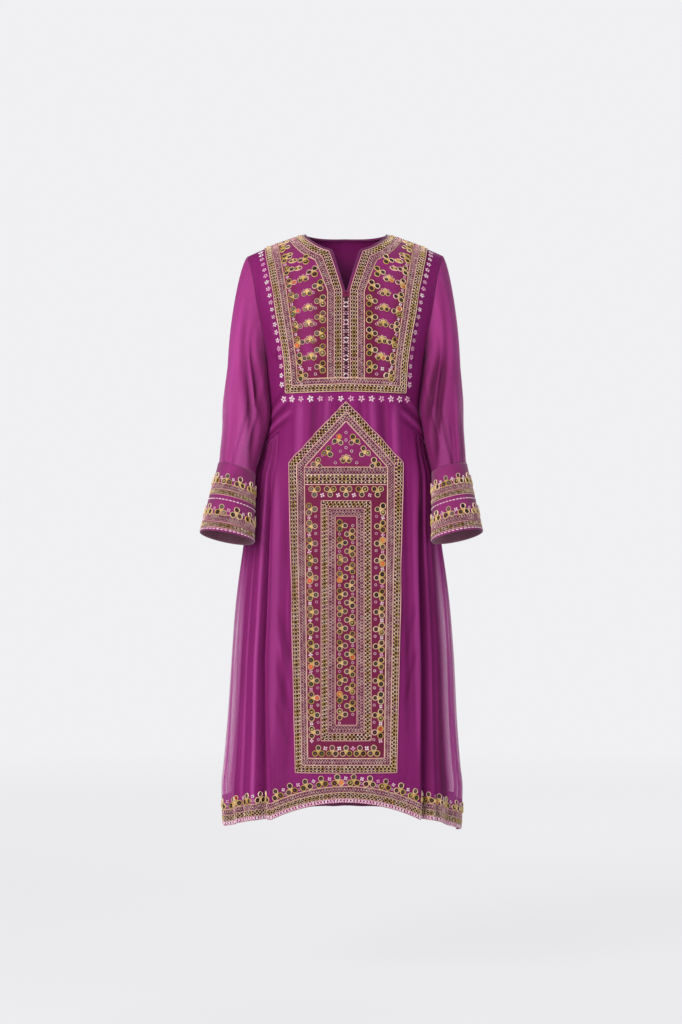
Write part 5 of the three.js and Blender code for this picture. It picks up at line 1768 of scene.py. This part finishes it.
# the sheets: the solid each stands for, slot, how it is held and what it rests on
plan = {
    "front": ("front_panel", "magenta_chiffon", "hung", "back_panel"),
    "back": ("back_panel", "magenta_chiffon", "hung", "front_panel"),
    "goreright": ("side_gore_right", "magenta_chiffon", "gathered", "front_panel"),
    "goreleft": ("side_gore_left", "magenta_chiffon", "gathered", "front_panel"),
    "sleeveright": ("sleeve_right", "magenta_chiffon", "hung", "front_panel"),
    "sleeveleft": ("sleeve_left", "magenta_chiffon", "hung", "front_panel"),
    "cuffright": ("cuff_right", "cuff_embroidery", "hung", "sleeve_right"),
    "cuffleft": ("cuff_left", "cuff_embroidery", "hung", "sleeve_left"),
    "yoke": ("yoke_panel", "embroidered_ground", "laid", "front_panel"),
    "pocket": ("pocket_panel", "embroidered_ground", "laid", "front_panel"),
    "facingfront": ("hem_facing_front", "facing", "hung", "front_panel"),
    "facingback": ("hem_facing_back", "facing", "hung", "back_panel"),
    "facingright": ("hem_facing_right", "facing", "hung", "side_gore_right"),
    "facingleft": ("hem_facing_left", "facing", "hung", "side_gore_left"),
}
for key, (node, slotName, held, restsOn) in plan.items():
    piece, (wide, high), area = sheets[key]
    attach(piece, "root")
    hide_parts(node)
    min(area, 0.999 * wide * high)
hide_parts("neck_binding")
stitched = {
    "embroidered_ground": [yokePiece, flowerPiece, backNeckPiece, pocketPiece, *hemPieces],
    "magenta_chiffon": seamPieces, "cuff_embroidery": cuffPieces, "binding": [bindingObject],
}
for slotName, pieces in stitched.items():
    for piece in pieces:
        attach(piece, "root")

print("floor, lights and camera")
studio = {
    "floorLevel": -1.512, "floorHalf": 6.0, "backdrop": colour(240, 240, 242), "ambient": 0.42,
    "camera": (-0.010, -5.3, -0.558), "lens": 92.4, "aim": (0, 0, -0.6), "fadeFrom": 1.6, "fadeOver": 3.6,
}
scene = bpy.context.scene
scene.view_settings.view_transform = "Standard"

bm = bmesh.new()
bmesh.ops.create_grid(bm, x_segments=8, y_segments=8, size=studio["floorHalf"])
bmesh.ops.translate(bm, verts=bm.verts, vec=(0, 0, studio["floorLevel"]))
floorMesh = bpy.data.meshes.new("floor")
bm.to_mesh(floorMesh)
bm.free()
floorFinish = Finish("pale floor", Roughness=0.9, Base_Color=(0.16, 0.16, 0.165, 1.0),
                     Specular_IOR_Level=0.0, Emission_Color=studio["backdrop"], Emission_Strength=0.785)
place = floorFinish.node("ShaderNodeTexCoord", output=3)
radius = floorFinish.node("ShaderNodeVectorMath", {"operation": "LENGTH"}, {
    0: floorFinish.stretched(place, (1.0, 1.0, 0.0))}, output=1)
floorFinish.feed("Alpha", (1.0 - (radius - studio["fadeFrom"]) / studio["fadeOver"]).clamp())
floorMesh.materials.append(floorFinish.material)
linked("floor", floorMesh)

world = bpy.data.worlds.new("studio")
world.use_nodes = True
scene.world = world
tree = world.node_tree
background = tree.nodes["Background"]
background.inputs["Color"].default_value = studio["backdrop"]
ray = tree.nodes.new("ShaderNodeLightPath")
seen = Wire(tree, ray.outputs["Is Camera Ray"])
strength = seen * (1.0 - studio["ambient"]) + studio["ambient"]
tree.links.new(strength.socket, background.inputs["Strength"])

lamps = [
    # name, place, size, watts, colour
    ("key", (-2.0, -3.1, 0.9), 1.6, 122, (1.0, 0.97, 0.95)),
    ("front", (-0.5, -4.4, 0.1), 1.8, 24, (1.0, 0.98, 0.97)),
    ("fill", (2.6, -2.8, -0.2), 2.2, 16, (0.95, 0.96, 1.0)),
    ("rim", (1.2, 3.0, 1.2), 1.8, 60, (1.0, 0.98, 0.98)),
]
for name, spot, size, watts, tint in lamps:
    data = bpy.data.lights.new(name, "AREA")
    data.size, data.energy, data.color = size, watts, tint
    lamp = linked(name, data)
    lamp.location = spot
    aim = Vector(studio["aim"]) - Vector(spot)
    lamp.rotation_mode = "QUATERNION"
    lamp.rotation_quaternion = aim.to_track_quat("-Z", "Y")

cameraData = bpy.data.cameras.new("camera")
cameraData.lens = studio["lens"]
cameraData.sensor_width = 36
cameraData.clip_end = 60
camera = linked("camera", cameraData)
camera.location = studio["camera"]
camera.rotation_euler = (math.pi / 2, 0, 0)
scene.camera = camera

bpy.context.view_layer.update()
